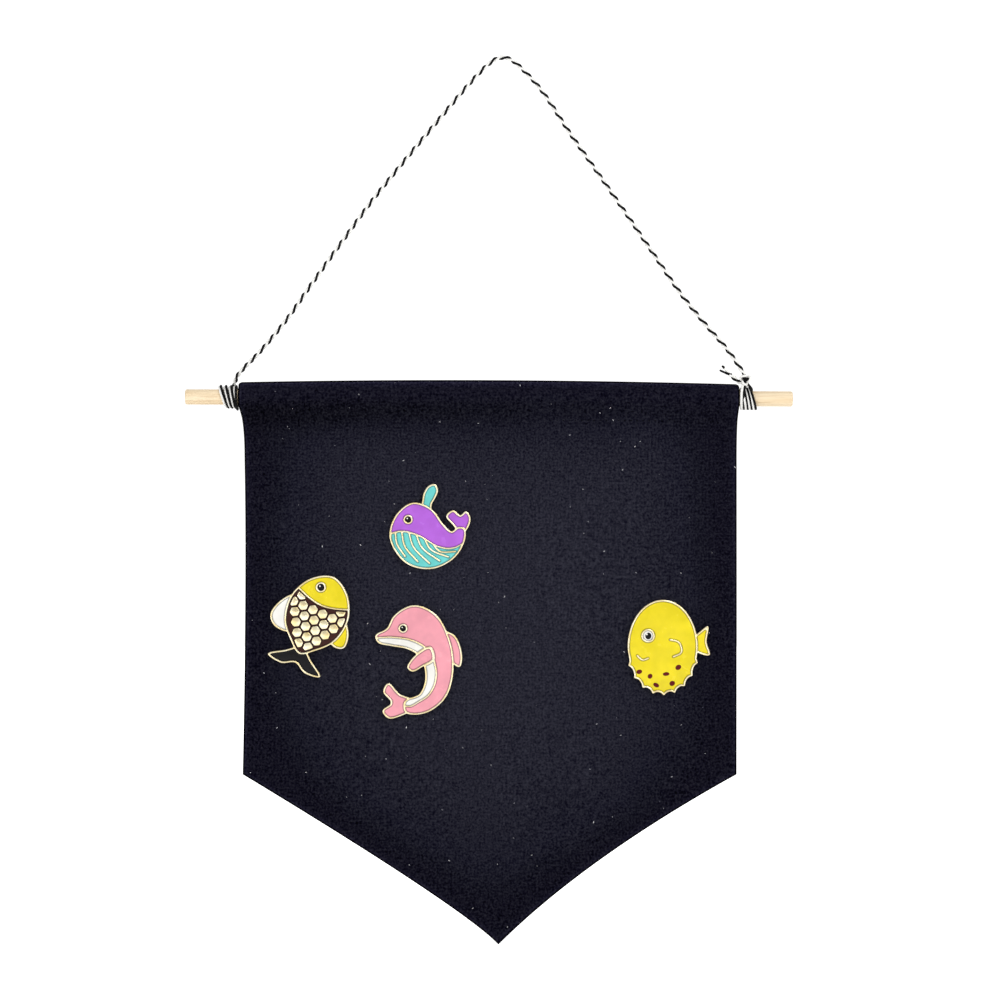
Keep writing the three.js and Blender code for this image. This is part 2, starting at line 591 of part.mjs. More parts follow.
function pufferBadge() {
  const spikes = 9;
  const spikeHeight = 0.03;
  const spikesFrom = 1.08 * Math.PI;
  const spikeAngle = (0.86 * Math.PI) / spikes;
  const halfWide = 0.43;
  const halfTall = 0.48;
  const rim = (angle, rise = 0) =>
    placed(puffer, [(halfWide + rise) * Math.cos(angle) - 0.06, (halfTall + rise) * Math.sin(angle) + 0.01]);
  const body = [];
  const crownSteps = 22;
  const crown = 2 * Math.PI - spikes * spikeAngle;
  for (let step = 0; step < crownSteps; step++) body.push(rim(spikesFrom - crown + (crown * step) / crownSteps));
  for (let spike = 0; spike < spikes; spike++) {
    const at = spikesFrom + (spike + 0.5) * spikeAngle;
    body.push(rim(at - 0.3 * spikeAngle), rim(at, spikeHeight), rim(at + 0.3 * spikeAngle));
  }
  const tail = blob(puffer, [
    [0.24, 0.04], [0.38, 0.15], [0.5, 0.22], [0.48, 0.06], [0.52, -0.08], [0.38, -0.06],
  ], 20);
  const mouth = [[-0.38, -0.08], [-0.31, -0.13], [-0.23, -0.11]];
  const sideFin = [[0.02, 0.08], [0.14, 0.05], [0.17, -0.05], [0.06, -0.1]];
  const eye = [-0.24, 0.12];
  const { eyeRadius } = puffer;
  const bodyField = (clear, span) => prism(inset(body, rimWidth + clear), span)
    .subtract(prism(disc(...placed(puffer, eye).toArray(), eyeRadius + lineWidth + clear), span))
    .subtract(joined([mouth, sideFin].map((line) => strip(puffer, line, lineWidth + 2 * clear)), span));
  const tailField = (clear, span) =>
    prism(inset(tail, rimWidth + clear), span).subtract(prism(inset(body, -clear), span));
  return badgePieces("puffer", [body, tail], [
    { part: "body_enamel", material: yellow, field: bodyField },
    { part: "tail_enamel", material: yellow, field: tailField },
    { part: "eye_enamel", material: white, field: eyeField(puffer, eye, eyeRadius) },
  ]);
}

// Post: a nail with a flat head that is soldered to the plate, its point behind the clutch.
function postPiece(name, figure) {
  const head = plateBack - padGap;
  const tip = plateBack - postLength;
  const profile = [
    [0, tip], [postRadius, tip + tipLength], [postRadius, head - padThickness],
    [padRadius, head - padThickness], [padRadius, head], [0, head],
  ].map(([r, along]) => new THREE.Vector2(r, along));
  const geometry = new THREE.LatheGeometry(profile, roundSides).rotateX(Math.PI / 2);
  return piece(`${name}_post`, geometry.translate(...postPlace(figure), 0), steel);
}

// Clutch cap: a dished plate with a rolled rim and a collar round the post. It is drawn with +z away from the cloth.
function capGeometry() {
  const bore = postRadius + gripGap;
  const profile = [
    [bore, 0], [capRadius, 0], [capRadius, capRimHeight], [capRadius - capRimWidth, capRimHeight],
    [capRadius - capRimWidth, capThickness], [bore + collarWidth, capThickness],
    [bore + collarWidth, collarHeight], [bore, collarHeight], [bore, 0],
  ].map(([r, up]) => new THREE.Vector2(r, up));
  return new THREE.LatheGeometry(profile, capSides).rotateX(Math.PI / 2);
}

// Clutch wing: a leaf with a slot round the post, a bend on the cap to turn on, and a tab to squeeze.
function wingSolid(level) {
  const root = capThickness + wingSeat + wingThickness / 2;
  const run = [
    [-leafPast, level], [leafShoulder, level], [wingRoot - wingThickness, root + wingThickness], [wingRoot, root],
    [wingRoot + tabReach / 2, root + 2 * wingThickness], [wingRoot + tabReach * 0.9, root + tabRise * 0.35],
    [wingRoot + tabReach, root + tabRise * 0.65], [wingRoot + tabReach * 0.7, root + tabRise],
  ];
  const whole = { width: 1, height: 1, tilt: 0, x: 0, y: 0 };
  const bendSteps = 16;
  const side = new THREE.ExtrudeGeometry(new THREE.Shape(strip(whole, run, wingThickness, bendSteps)), {
    depth: wingWidth, bevelEnabled: false,
  });
  side.translate(0, 0, -wingWidth / 2).rotateX(Math.PI / 2);
  const slotEnd = postRadius + gripGap;
  const slot = [
    [-slotEnd, -slotEnd], [slotLength, -slotEnd], [slotLength, slotEnd], [-slotEnd, slotEnd],
  ].map(([x, y]) => new THREE.Vector2(x, y));
  return solidOf(side).subtract(prism(slot, [level - 2 * wingThickness, level + 2 * wingThickness]));
}

function clutchPieces(name, figure) {
  const clutch = new THREE.Group();
  clutch.position.set(...postPlace(figure), -capFace);
  clutch.rotation.y = Math.PI;
  const left = piece(`${name}_clutch_wing_left`, wingSolid(leafRise), brass);
  const right = piece(`${name}_clutch_wing_right`, wingSolid(leafRise + leafStep), brass);
  right.rotation.z = Math.PI;
  clutch.add(piece(`${name}_clutch_cap`, capGeometry(), brass), left, right);
  return clutch;
}

// Assembly
const face = new THREE.Group();
face.rotation.x = Math.PI / 2;
face.add(bannerLayer("front_panel", 1), bannerLayer("back_panel", -1), dowelPiece(), ...cordPieces());
const badges = { whale: whaleBadge, dolphin: dolphinBadge, fish: fishBadge, puffer: pufferBadge };
const figures = { whale, dolphin, fish, puffer };
for (const [name, figure] of Object.entries(figures)) {
  face.add(...badges[name](), postPiece(name, figure), clutchPieces(name, figure));
}

const board = new THREE.Group();
board.add(face);

export default board;
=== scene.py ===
import math
import bmesh
import bpy
import numpy as np
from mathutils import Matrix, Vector
from mathutils.geometry import delaunay_2d_cdt


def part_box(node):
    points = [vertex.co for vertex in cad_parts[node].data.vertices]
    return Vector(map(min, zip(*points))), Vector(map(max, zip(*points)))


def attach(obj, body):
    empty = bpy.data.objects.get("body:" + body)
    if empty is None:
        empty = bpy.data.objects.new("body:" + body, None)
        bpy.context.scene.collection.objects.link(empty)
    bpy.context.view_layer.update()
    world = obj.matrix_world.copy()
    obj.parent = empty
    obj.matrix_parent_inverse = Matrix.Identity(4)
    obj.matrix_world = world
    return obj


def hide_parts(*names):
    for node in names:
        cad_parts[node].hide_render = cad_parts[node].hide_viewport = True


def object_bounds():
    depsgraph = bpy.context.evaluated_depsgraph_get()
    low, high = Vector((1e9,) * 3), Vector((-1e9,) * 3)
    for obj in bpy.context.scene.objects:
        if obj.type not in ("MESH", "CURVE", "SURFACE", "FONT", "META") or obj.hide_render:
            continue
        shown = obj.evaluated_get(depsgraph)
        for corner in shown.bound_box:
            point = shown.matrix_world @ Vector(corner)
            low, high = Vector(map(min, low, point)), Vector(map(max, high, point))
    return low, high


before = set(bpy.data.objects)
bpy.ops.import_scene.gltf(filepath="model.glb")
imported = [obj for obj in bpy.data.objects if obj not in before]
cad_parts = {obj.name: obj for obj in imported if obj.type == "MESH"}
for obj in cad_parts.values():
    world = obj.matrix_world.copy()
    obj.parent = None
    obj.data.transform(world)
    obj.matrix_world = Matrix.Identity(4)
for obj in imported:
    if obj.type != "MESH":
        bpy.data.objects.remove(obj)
cadLow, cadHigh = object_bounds()
mm = 0.001
scene = bpy.context.scene
scene.view_settings.view_transform = "Standard"  # keeps the whites white
print("frame loaded:", len(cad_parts), "nodes")


# Small tools for nodes and materials

def addNode(tree, kind, inputs=None, output=0, **settings):  # gives back one of the new node's outputs
    node = tree.nodes.new(kind)
    for key, value in settings.items():
        setattr(node, key, value)
    for key, value in (inputs or {}).items():
        if isinstance(value, bpy.types.NodeSocket):
            tree.links.new(value, node.inputs[key])
        else:
            node.inputs[key].default_value = value
    return node.outputs[output] if len(node.outputs) else None


def shader(tree, kind, *rest, **settings):
    return addNode(tree, "ShaderNode" + kind, *rest, **settings)


def geometry(tree, kind, *rest, **settings):
    return addNode(tree, "GeometryNode" + kind, *rest, **settings)


def maths(tree, operation, a, b=0.0, c=0.0):
    return shader(tree, "Math", {0: a, 1: b, 2: c}, operation=operation)


def vectors(tree, operation, a, b):
    second = "Scale" if operation == "SCALE" else 1
    return shader(tree, "VectorMath", {0: a, second: b}, operation=operation)


def noise(tree, vector, scale, detail=2.0, roughness=0.5, output=0):
    inputs = {"Vector": vector, "Scale": scale, "Detail": detail, "Roughness": roughness}
    return shader(tree, "TexNoise", inputs, output)


def stretched(tree, vector, scale):
    return shader(tree, "Mapping", {"Vector": vector, "Scale": scale})


def attribute(tree, name, output="Fac"):
    return shader(tree, "Attribute", None, output, attribute_name=name)


def spread(tree, value, low, high, toLow=0.0, toHigh=1.0, **settings):
    inputs = {"Value": value, "From Min": low, "From Max": high, "To Min": toLow, "To Max": toHigh}
    return shader(tree, "MapRange", inputs, **settings)


def roughSpread(tree, vector, scale, low, high):
    return spread(tree, noise(tree, vector, scale, 3.0), 0.3, 0.7, low, high)


def bumpOf(tree, height, distance, strength):
    return shader(tree, "Bump", {"Height": height, "Distance": distance, "Strength": strength})


def mixColour(tree, a, b, share=1.0, blend="MULTIPLY"):
    return shader(tree, "Mix", {0: share, 6: a, 7: b}, 2, data_type="RGBA", blend_type=blend,
                  clamp_result=blend == "ADD")


def paint(red, green, blue):  # a colour as a picture editor shows it
    toLinear = lambda v: v / 12.92 if v <= 0.04045 else ((v + 0.055) / 1.055) ** 2.4
    return tuple(toLinear(v / 255) for v in (red, green, blue)) + (1.0,)


def grey(value):
    return (value, value, value, 1.0)


def ramp(tree, factor, stops):
    colours = shader(tree, "ValToRGB", {"Fac": factor}, "Color")
    marks = colours.node.color_ramp.elements
    while len(marks) < len(stops):
        marks.new(0.5)
    for stop, (place, colour) in zip(marks, stops):
        stop.position = place
        stop.color = colour
    return colours


def startMaterial(name):  # the material, its tree, and the place in the object for textures
    material = bpy.data.materials.new(name)
    material.use_nodes = True
    tree = material.node_tree
    tree.nodes.clear()
    return material, tree, shader(tree, "TexCoord", None, "Object")


def dress(material, values):
    tree = material.node_tree
    shader(tree, "OutputMaterial", {"Surface": shader(tree, "BsdfPrincipled", values)})
    return material


# Small tools for meshes

def putIn(name, data):
    thing = bpy.data.objects.new(name, data)
    scene.collection.objects.link(thing)
    return thing


def settle(name, mesh, body, nodes=(), smoothTo=180):
    piece = putIn(name, mesh)
    mesh.polygons.foreach_set("use_smooth", [True] * len(mesh.polygons))
    if smoothTo < 180:
        mesh.set_sharp_from_angle(angle=math.radians(smoothTo))
    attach(piece, body)
    if nodes:
        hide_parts(*nodes)
    return piece


def reshape(mesh, work):
    shape = bmesh.new()
    shape.from_mesh(mesh)
    work(shape)
    shape.to_mesh(mesh)
    shape.free()


def meshOf(name, points, faces, materials, outward=True):
    mesh = bpy.data.meshes.new(name)
    mesh.from_pydata([tuple(p) for p in points], [], [tuple(f) for f in faces])
    for material in materials:
        mesh.materials.append(material)
    mesh.validate()
    if outward:
        reshape(mesh, lambda shape: bmesh.ops.recalc_face_normals(shape, faces=shape.faces))
    mesh.update()
    return mesh


def mark(mesh, label, values):  # a number on each point, for a material to read
    store = mesh.attributes.new(label, "FLOAT", "POINT")
    store.data.foreach_set("value", np.asarray(values, np.float32))


def ringFaces(rows, sides, first=0, closed=False):  # faces between rings of points, and caps on an open row
    faces = []
    for ring in range(rows if closed else rows - 1):
        a, b = first + ring * sides, first + (ring + 1) % rows * sides
        faces += [(a + k, a + (k + 1) % sides, b + (k + 1) % sides, b + k) for k in range(sides)]
    if not closed:
        last = first + (rows - 1) * sides
        faces += [tuple(range(first, first + sides)), tuple(range(last, last + sides))]
    return faces


def smoothPath(points, spacing, closed=False):  # an even line through given points
    spots = np.array(points, float)
    count = len(spots)
    out = []
    for i in range(count if closed else count - 1):
        a, b = spots[i], spots[(i + 1) % count]
        before = spots[i - 1] if closed or i > 0 else 2 * a - b
        after = spots[(i + 2) % count] if closed or i + 2 < count else 2 * b - a
        gaps = [max(np.linalg.norm(q - p) ** 0.5, 1e-6) for p, q in ((before, a), (a, b), (b, after))]
        start = ((a - before) / gaps[0] - (b - before) / (gaps[0] + gaps[1]) + (b - a) / gaps[1]) * gaps[1]
        finish = ((b - a) / gaps[1] - (after - a) / (gaps[1] + gaps[2]) + (after - b) / gaps[2]) * gaps[1]
        steps = max(1, round(np.linalg.norm(b - a) / spacing))
        for t in np.arange(steps) / steps:
            out.append(a + start * t + (3 * (b - a) - 2 * start - finish) * t ** 2
                       + (2 * (a - b) + start + finish) * t ** 3)
    if not closed:
        out.append(spots[-1])
    return np.array(out)


def stepsOf(path):  # the length of each step along a line
    return np.linalg.norm(np.diff(path, axis=0), axis=1)


def lineMesh(name, points, closed=False):
    mesh = bpy.data.meshes.new(name)
    edges = [(i, i + 1) for i in range(len(points) - 1)]
    if closed:
        edges.append((len(points) - 1, 0))
    mesh.from_pydata([tuple(p) for p in points], edges, [])
    return mesh


def startTree(name, inputs):  # a geometry tree and the sockets of its inputs, listed by kind
    tree = bpy.data.node_groups.new(name, "GeometryNodeTree")
    tree.interface.new_socket("Geometry", in_out="INPUT", socket_type="NodeSocketGeometry")
    for kind, labels in inputs.items():
        for label in labels:
            tree.interface.new_socket(label, in_out="INPUT", socket_type="NodeSocket" + kind)
    tree.interface.new_socket("Geometry", in_out="OUTPUT", socket_type="NodeSocketGeometry")
    return tree, tree.nodes.new("NodeGroupInput").outputs


def endTree(tree, shape, material, chosen=True):
    real = geometry(tree, "RealizeInstances", {"Geometry": shape})
    worn = geometry(tree, "SetMaterial", {"Geometry": real, "Selection": chosen, "Material": material})
    addNode(tree, "NodeGroupOutput", {0: worn})
    return tree


def grow(name, tree, source, values):  # runs a node tree on a mesh and gives back a plain mesh
    holder = putIn(name + "Holder", source)
    modifier = holder.modifiers.new("grow", "NODES")
    modifier.node_group = tree
    sockets = {item.name: item.identifier for item in tree.interface.items_tree if item.in_out == "INPUT"}
    for label, value in values.items():
        modifier[sockets[label]] = value
    bpy.context.view_layer.update()
    made = bpy.data.meshes.new_from_object(holder.evaluated_get(bpy.context.evaluated_depsgraph_get()))
    holder.modifiers.remove(modifier)
    bpy.data.objects.remove(holder)
    made.name = name
    return made


# Camera and light

studio = {
    "camera": (-0.73, -1009, -159.7), "lens": 100, "sensor": 36, "clip": (0.01, 50),
    "backdrop": 1.15, "sky": (-0.6, 0.7, 0.34, 0.66),  # two heights, and the strength at each
    "lamps": [
        ("keyLamp", (0.55, -1.0, 0.7), 0.7, 4.6),
        ("fillLamp", (-0.8, -0.9, -0.1), 0.8, 1.6),
        ("backLamp", (0.1, 1.0, 0.5), 0.8, 3.5),
    ],
    "floorDrop": 100, "floorRadius": 4, "floorSides": 96, "floorGlow": (0.25, 1.0, 0.05, 1.1),
}
middle = (cadLow + cadHigh) / 2


def setCamera():
    data = bpy.data.cameras.new("boardCamera")
    data.lens = studio["lens"]
    data.sensor_width = studio["sensor"]
    data.clip_start, data.clip_end = studio["clip"]
    camera = putIn("boardCamera", data)
    camera.location = Vector(studio["camera"]) * mm
    camera.rotation_euler = (math.pi / 2, 0, 0)
    scene.camera = camera


def setLight():
    world = bpy.data.worlds.new("studioWorld")
    scene.world = world
    world.use_nodes = True
    tree = world.node_tree
    tree.nodes.clear()
    way = shader(tree, "SeparateXYZ", {0: shader(tree, "TexCoord", None, "Generated")}, "Z")
    sky = spread(tree, way, *studio["sky"], interpolation_type="SMOOTHSTEP")
    dome, plain = [shader(tree, "Background", {"Color": grey(1.0), "Strength": strength})
                   for strength in (sky, studio["backdrop"])]
    seen = shader(tree, "LightPath", None, "Is Camera Ray")
    shader(tree, "OutputWorld", {"Surface": shader(tree, "MixShader", {0: seen, 1: dome, 2: plain})})
    for name, place, size, power in studio["lamps"]:
        data = bpy.data.lights.new(name, "AREA")
        data.shape = "DISK"
        data.size, data.energy = size, power
        lamp = putIn(name, data)
        lamp.location = middle + Vector(place)
        lamp.rotation_euler = (-Vector(place)).to_track_quat("-Z", "Y").to_euler()


def layFloor():
    material, tree, spot = startMaterial("paleFloor")
    far = shader(tree, "VectorMath", {0: spot}, "Value", operation="LENGTH")
    glow = spread(tree, far, *studio["floorGlow"])
    dress(material, {"Base Color": grey(0.9), "Roughness": 0.9, "Specular IOR Level": 0.1,
                     "Emission Color": grey(1.0), "Emission Strength": glow})
    mesh = bpy.data.meshes.new("floor")
    reshape(mesh, lambda shape: bmesh.ops.create_circle(
        shape, cap_ends=True, segments=studio["floorSides"], radius=studio["floorRadius"]))
    mesh.materials.append(material)
    floor = putIn("floor", mesh)
    floor.location = (middle.x, 0, cadLow.z - studio["floorDrop"] * mm)


setCamera()
setLight()
layFloor()
print("camera and studio set")


# Twine: two plies, one black and one white, laid round each other

twine = {
    "plyRadius": 0.46, "plyOffset": 0.4, "twist": -5.2, "step": 0.42, "fuzz": 0.07, "sides": 12,
    "runTwist": -4.635, "slackening": 0.171, "firstTurn": 0.764,  # the free run is laid tighter on the left
    "leftEnd": [(-98.1, 5.4, -120.9), (-98.05, 5.2, -118.2)],
    "run": [
        (-96.5, -114.0), (-93.9, -111.0), (-88.4, -105.4), (-78.8, -93.9), (-68.6, -79.5), (-58.1, -65.0),
        (-47.4, -50.5), (-35.6, -36.0), (-23.5, -21.6), (-11.6, -7.7), (-6.0, -2.0), (-2.8, 0.4), (0, 1.05),
        (2.7, 0.4), (6.0, -2.2), (13.4, -10.2), (24.8, -27.3), (35.0, -41.9), (45.0, -56.4), (54.8, -70.9),
        (64.6, -85.2), (74.1, -97.0), (79.9, -103.6), (82.9, -107.5), (85.3, -111.1), (86.7, -113.2),
    ],
    "rightEnd": [(87.3, -3.85, -114.2)], "depth": 3.85, "runSpacing": 1.0,
    "windingRadius": 3.72, "windingTwist": 360, "turnSteps": 28, "windingSpacing": 0.6,
    "left": {  # side 1 starts behind the dowel, -1 in front of it
        "side": 1, "pitch": -1.6, "turns": 4.1, "leans": (0.0, 1.15), "start": -96.8, "room": -96.8,
        "firstStep": 9, "lag": 0.8, "phase": -0.13, "phaseAt": -96.8,
        "before": [(-98.1, 5.4, 1.0), (-97.7, 5.45, -0.8), (-97.1, 4.5, -3.2), (-96.75, 2.4, -4.2)],
        "after": [],
    },
    "right": {
        "side": -1, "pitch": 1.25, "turns": 3.7, "leans": (0.3, 1.0), "start": 86.25, "room": 86.4,
        "firstStep": 3, "lag": 0, "phase": 0.04, "phaseAt": 87.5,
        "before": [(87.0, -3.7, 5.4), (86.9, -4.0, 4.4), (86.6, -4.3, 2.8), (86.5, -4.0, 1.0)],
        "after": [(88.6, -1.6, 4.6), (87.7, -3.2, 5.6)],
    },
    "tilt": 0.0034, "tiltMiddle": -4.9,
    "knot": (87.5, -3.85, -115.9), "knotSize": (0.53, 0.85, 0.477), "knotSteps": 48, "knotTurn": 0.1,
    "tail": [(86.8, -3.4, -116.8), (85.3, -2.7, -116.6), (83.5, -2.5, -115.2), (82.0, -2.4, -113.9)],
    "tailSpacing": 0.5, "fraySpacing": 0.25, "fraySides": 10, "frayTaper": 0.35, "frayBumps": (0.08, 9),
    "frays": {
        "frayedBlack": [(82.0, -2.5, -113.9), (80.3, -2.7, -113.3), (78.3, -2.6, -112.4)],
        "frayedWhite": [(82.0, -2.3, -113.8), (80.9, -2.2, -112.6), (79.8, -2.4, -111.5)],
        "frayedTip": [(80.0, -2.5, -111.6), (79.6, -2.6, -111.2), (79.2, -2.5, -110.8)],
    },
}
dowelLow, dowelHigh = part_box("dowel")
dowelAxis = (dowelLow.z + dowelHigh.z) / 2 / mm
dowelRadius = (dowelHigh.z - dowelLow.z) / 2 / mm


def cottonPly(name, light, dark, sheen):
    material, tree, spot = startMaterial(name)
    along = attribute(tree, "alongTwine")
    turned = shader(tree, "VectorRotate", {
        "Vector": attribute(tree, "roundPly", "Vector"), "Axis": (0, 0, 1),
        "Angle": maths(tree, "MULTIPLY", along, -1900.0),
    }, rotation_type="AXIS_ANGLE")
    shift = shader(tree, "CombineXYZ", {"Z": maths(tree, "MULTIPLY", along, 240.0)})
    fibre = noise(tree, vectors(tree, "ADD", turned, shift), 4.5, 5.0, 0.65)
    return dress(material, {
        "Base Color": ramp(tree, fibre, [(0.3, dark), (0.62, light)]),
        "Roughness": roughSpread(tree, spot, 900, 0.75, 0.98), "Specular IOR Level": 0.15,
        "Sheen Weight": sheen, "Sheen Roughness": 0.5, "Normal": bumpOf(tree, fibre, 0.00025, 0.8),
    })


blackPly = cottonPly("blackCotton", paint(10, 10, 11), paint(2, 2, 3), 0.02)
whitePly = cottonPly("whiteCotton", paint(255, 255, 252), paint(226, 224, 218), 0.1)


def twineTree():
    tree, take = startTree("twinePlies", {
        "Float": ("Ply radius", "Ply offset", "Twist", "Slackening", "First turn", "Step", "Fuzz"),
        "Int": ("Sides",), "Material": ("Black", "White"),
    })
    line = geometry(tree, "MeshToCurve", {"Mesh": take["Geometry"]})
    line = geometry(tree, "ResampleCurve", {"Curve": line, "Length": take["Step"]}, mode="LENGTH")
    length = geometry(tree, "SplineParameter", None, "Length")
    slack = maths(tree, "SUBTRACT", 1.0, maths(tree, "MULTIPLY", length, take["Slackening"]))
    turn = maths(tree, "MULTIPLY", maths(tree, "DIVIDE", length, take["Twist"]), slack)
    turn = maths(tree, "MULTIPLY", maths(tree, "ADD", turn, take["First turn"]), 2 * math.pi)
    line = geometry(tree, "SetCurveTilt", {"Curve": line, "Tilt": turn})
    line = geometry(tree, "StoreNamedAttribute", {"Geometry": line, "Name": "alongTwine", "Value": length},
               data_type="FLOAT", domain="POINT")
    ring = geometry(tree, "CurvePrimitiveCircle", {"Resolution": take["Sides"], "Radius": take["Ply radius"]})
    inverse = maths(tree, "DIVIDE", 1.0, take["Ply radius"])
    unit = vectors(tree, "SCALE", geometry(tree, "InputPosition"), inverse)
    ring = geometry(tree, "StoreNamedAttribute", {"Geometry": ring, "Name": "roundPly", "Value": unit},
               data_type="FLOAT_VECTOR", domain="POINT")
    both = tree.nodes.new("GeometryNodeJoinGeometry")
    for white, sign in ((False, 1.0), (True, -1.0)):
        shift = shader(tree, "CombineXYZ", {"X": maths(tree, "MULTIPLY", take["Ply offset"], sign)})
        moved = geometry(tree, "Transform", {"Geometry": ring, "Translation": shift})
        ply = geometry(tree, "CurveToMesh", {"Curve": line, "Profile Curve": moved, "Fill Caps": True})
        ply = geometry(tree, "StoreNamedAttribute", {"Geometry": ply, "Name": "whitePly", "Value": white},
                  data_type="BOOLEAN", domain="FACE")
        tree.links.new(ply, both.inputs[0])
    grain = shader(tree, "TexNoise", {"Scale": 2600.0, "Detail": 2.0})
    push = maths(tree, "MULTIPLY", maths(tree, "SUBTRACT", grain, 0.5), take["Fuzz"])
    outward = vectors(tree, "SCALE", geometry(tree, "InputNormal"), push)
    rough = geometry(tree, "SetPosition", {"Geometry": both.outputs[0], "Offset": outward})
    dark = geometry(tree, "SetMaterial", {"Geometry": rough, "Material": take["Black"]})
    isWhite = geometry(tree, "InputNamedAttribute", {"Name": "whitePly"}, data_type="BOOLEAN")
    return endTree(tree, dark, take["White"], isWhite)


twineNodes = twineTree()


def layTwine(name, path, nodes, twist, firstTurn=0.0, slackening=0.0, closed=False):
    mesh = grow(name, twineNodes, lineMesh(name + "Line", path * mm, closed), {
        "Ply radius": twine["plyRadius"] * mm, "Ply offset": twine["plyOffset"] * mm, "Twist": twist * mm,
        "Slackening": slackening, "First turn": firstTurn, "Step": twine["step"] * mm,
        "Fuzz": twine["fuzz"] * mm, "Sides": twine["sides"], "Black": blackPly, "White": whitePly,
    })
    return settle(name, mesh, "hanger", nodes)


def leaning(path):  # the dowel hangs a little lower on the right
    path[:, 2] -= twine["tilt"] * (path[:, 0] - twine["tiltMiddle"])
    return path


def windDowel(hand):
    form, radius, steps = twine[hand], twine["windingRadius"], twine["turnSteps"]
    nearCloth = max if hand == "right" else min
    rings = []
    for turn in np.arange(form["firstStep"], int(form["turns"] * steps) + 1) / steps:
        angle = 2 * math.pi * turn
        lean = np.interp(turn, (0, form["turns"]), form["leans"]) * math.sin(angle)  # the rings hang askew
        x = nearCloth(form["room"], form["start"] + form["pitch"] * max(0, turn - form["lag"]) + lean)
        rings.append((x, form["side"] * radius * math.cos(angle), dowelAxis - radius * math.sin(angle)))
    before, after = [[(x, y, dowelAxis + up) for x, y, up in form[part]] for part in ("before", "after")]
    points = before + rings + after
    above = np.array(points[0]) + (0, 0, 1.0)
    path = leaning(np.vstack([above, smoothPath(points, twine["windingSpacing"])]))
    spot = np.array((form["phaseAt"], -radius, dowelAxis))  # where the plies have turned by the phase
    nearest = np.linalg.norm(path - spot, axis=1).argmin()
    firstTurn = form["phase"] - stepsOf(path)[:nearest].sum() / twine["windingTwist"]
    return layTwine(hand + "Wrap", path, [hand + "_winding"], twine["windingTwist"], firstTurn)


def singlePly(name, points, material):  # one ply that has come away from the other
    path = smoothPath(points, twine["fraySpacing"])
    sides, (bump, rate) = twine["fraySides"], twine["frayBumps"]
    rings = []
    for i, spot in enumerate(path):
        ahead = path[min(i + 1, len(path) - 1)] - path[max(i - 1, 0)]
        ahead = ahead / np.linalg.norm(ahead)
        side = np.cross(ahead, (0, 1, 0))
        side = side / np.linalg.norm(side)
        over = np.cross(side, ahead)
        share = i / (len(path) - 1)
        taper = 1 - twine["frayTaper"] * share ** 3
        size = twine["plyRadius"] * taper * (1 + bump * math.sin(rate * share))
        rings += [spot + size * (math.cos(a) * side + math.sin(a) * over)
                  for a in np.arange(sides) * 2 * math.pi / sides]
    return meshOf(name, np.array(rings) * mm, ringFaces(len(path), sides), [material])


def tieKnot():
    wide, deep, tall = twine["knotSize"]
    bend = [(wide * (math.sin(t) + 2 * math.sin(2 * t)), -deep * math.sin(3 * t),
             tall * (math.cos(t) - 2 * math.cos(2 * t)))
            for t in np.arange(twine["knotSteps"]) * 2 * math.pi / twine["knotSteps"]]
    path = np.array(bend) + np.array(twine["knot"])
    around = np.linalg.norm(np.roll(path, -1, 0) - path, axis=1).sum()
    twist = -around / round(around / abs(twine["twist"]))  # whole turns, so that the plies meet
    return layTwine("twineKnot", path, ["cord_knot"], twist, twine["knotTurn"], closed=True)


def hangTwine():
    depth = lambda x, z: -math.copysign(max(0.0, twine["depth"] * z / dowelAxis), x)
    free = twine["leftEnd"] + [(x, depth(x, z), z) for x, z in twine["run"]] + twine["rightEnd"]
    path = smoothPath(free, twine["runSpacing"])
    cord = layTwine("hangingTwine", path, ["hanging_cord"], twine["runTwist"], twine["firstTurn"],
                    twine["slackening"])
    leftWrap, rightWrap = windDowel("left"), windDowel("right")
    knot = tieKnot()
    tailPath = smoothPath(twine["tail"], twine["tailSpacing"])
    tail = layTwine("twineTail", tailPath, ["cord_tail"], twine["twist"])
    for name, points in twine["frays"].items():
        ply = singlePly(name, points, whitePly if name == "frayedWhite" else blackPly)
        settle(name, ply, "hanger", ())


hangTwine()


# Dowel

dowelForm = {
    "sides": 64, "step": 2.0, "endRoom": (2, 1.5), "wobble": 0.025,
    "end": [(0, 0.45), (0.12, 0.27), (0.135, 0.1575), (0.45, 0)],  # how far in, and how much thinner there
}


def pineWood():
    material, tree, spot = startMaterial("paleWood")
    fine, broad = stretched(tree, spot, (60, 1500, 1500)), stretched(tree, spot, (14, 420, 420))
    streak, band = noise(tree, fine, 1.0, 4.0), noise(tree, broad, 1.0)
    pale = ramp(tree, band, [(0.3, paint(232, 206, 166)), (0.65, paint(246, 228, 197))])
    pores = ramp(tree, streak, [(0.28, (0.62, 0.5, 0.36, 1)), (0.5, grey(1.0))])
    return dress(material, {
        "Base Color": mixColour(tree, pale, pores, 0.55), "Specular IOR Level": 0.3,
        "Roughness": roughSpread(tree, fine, 1.0, 0.5, 0.75), "Normal": bumpOf(tree, streak, 0.0002, 0.35),
    })


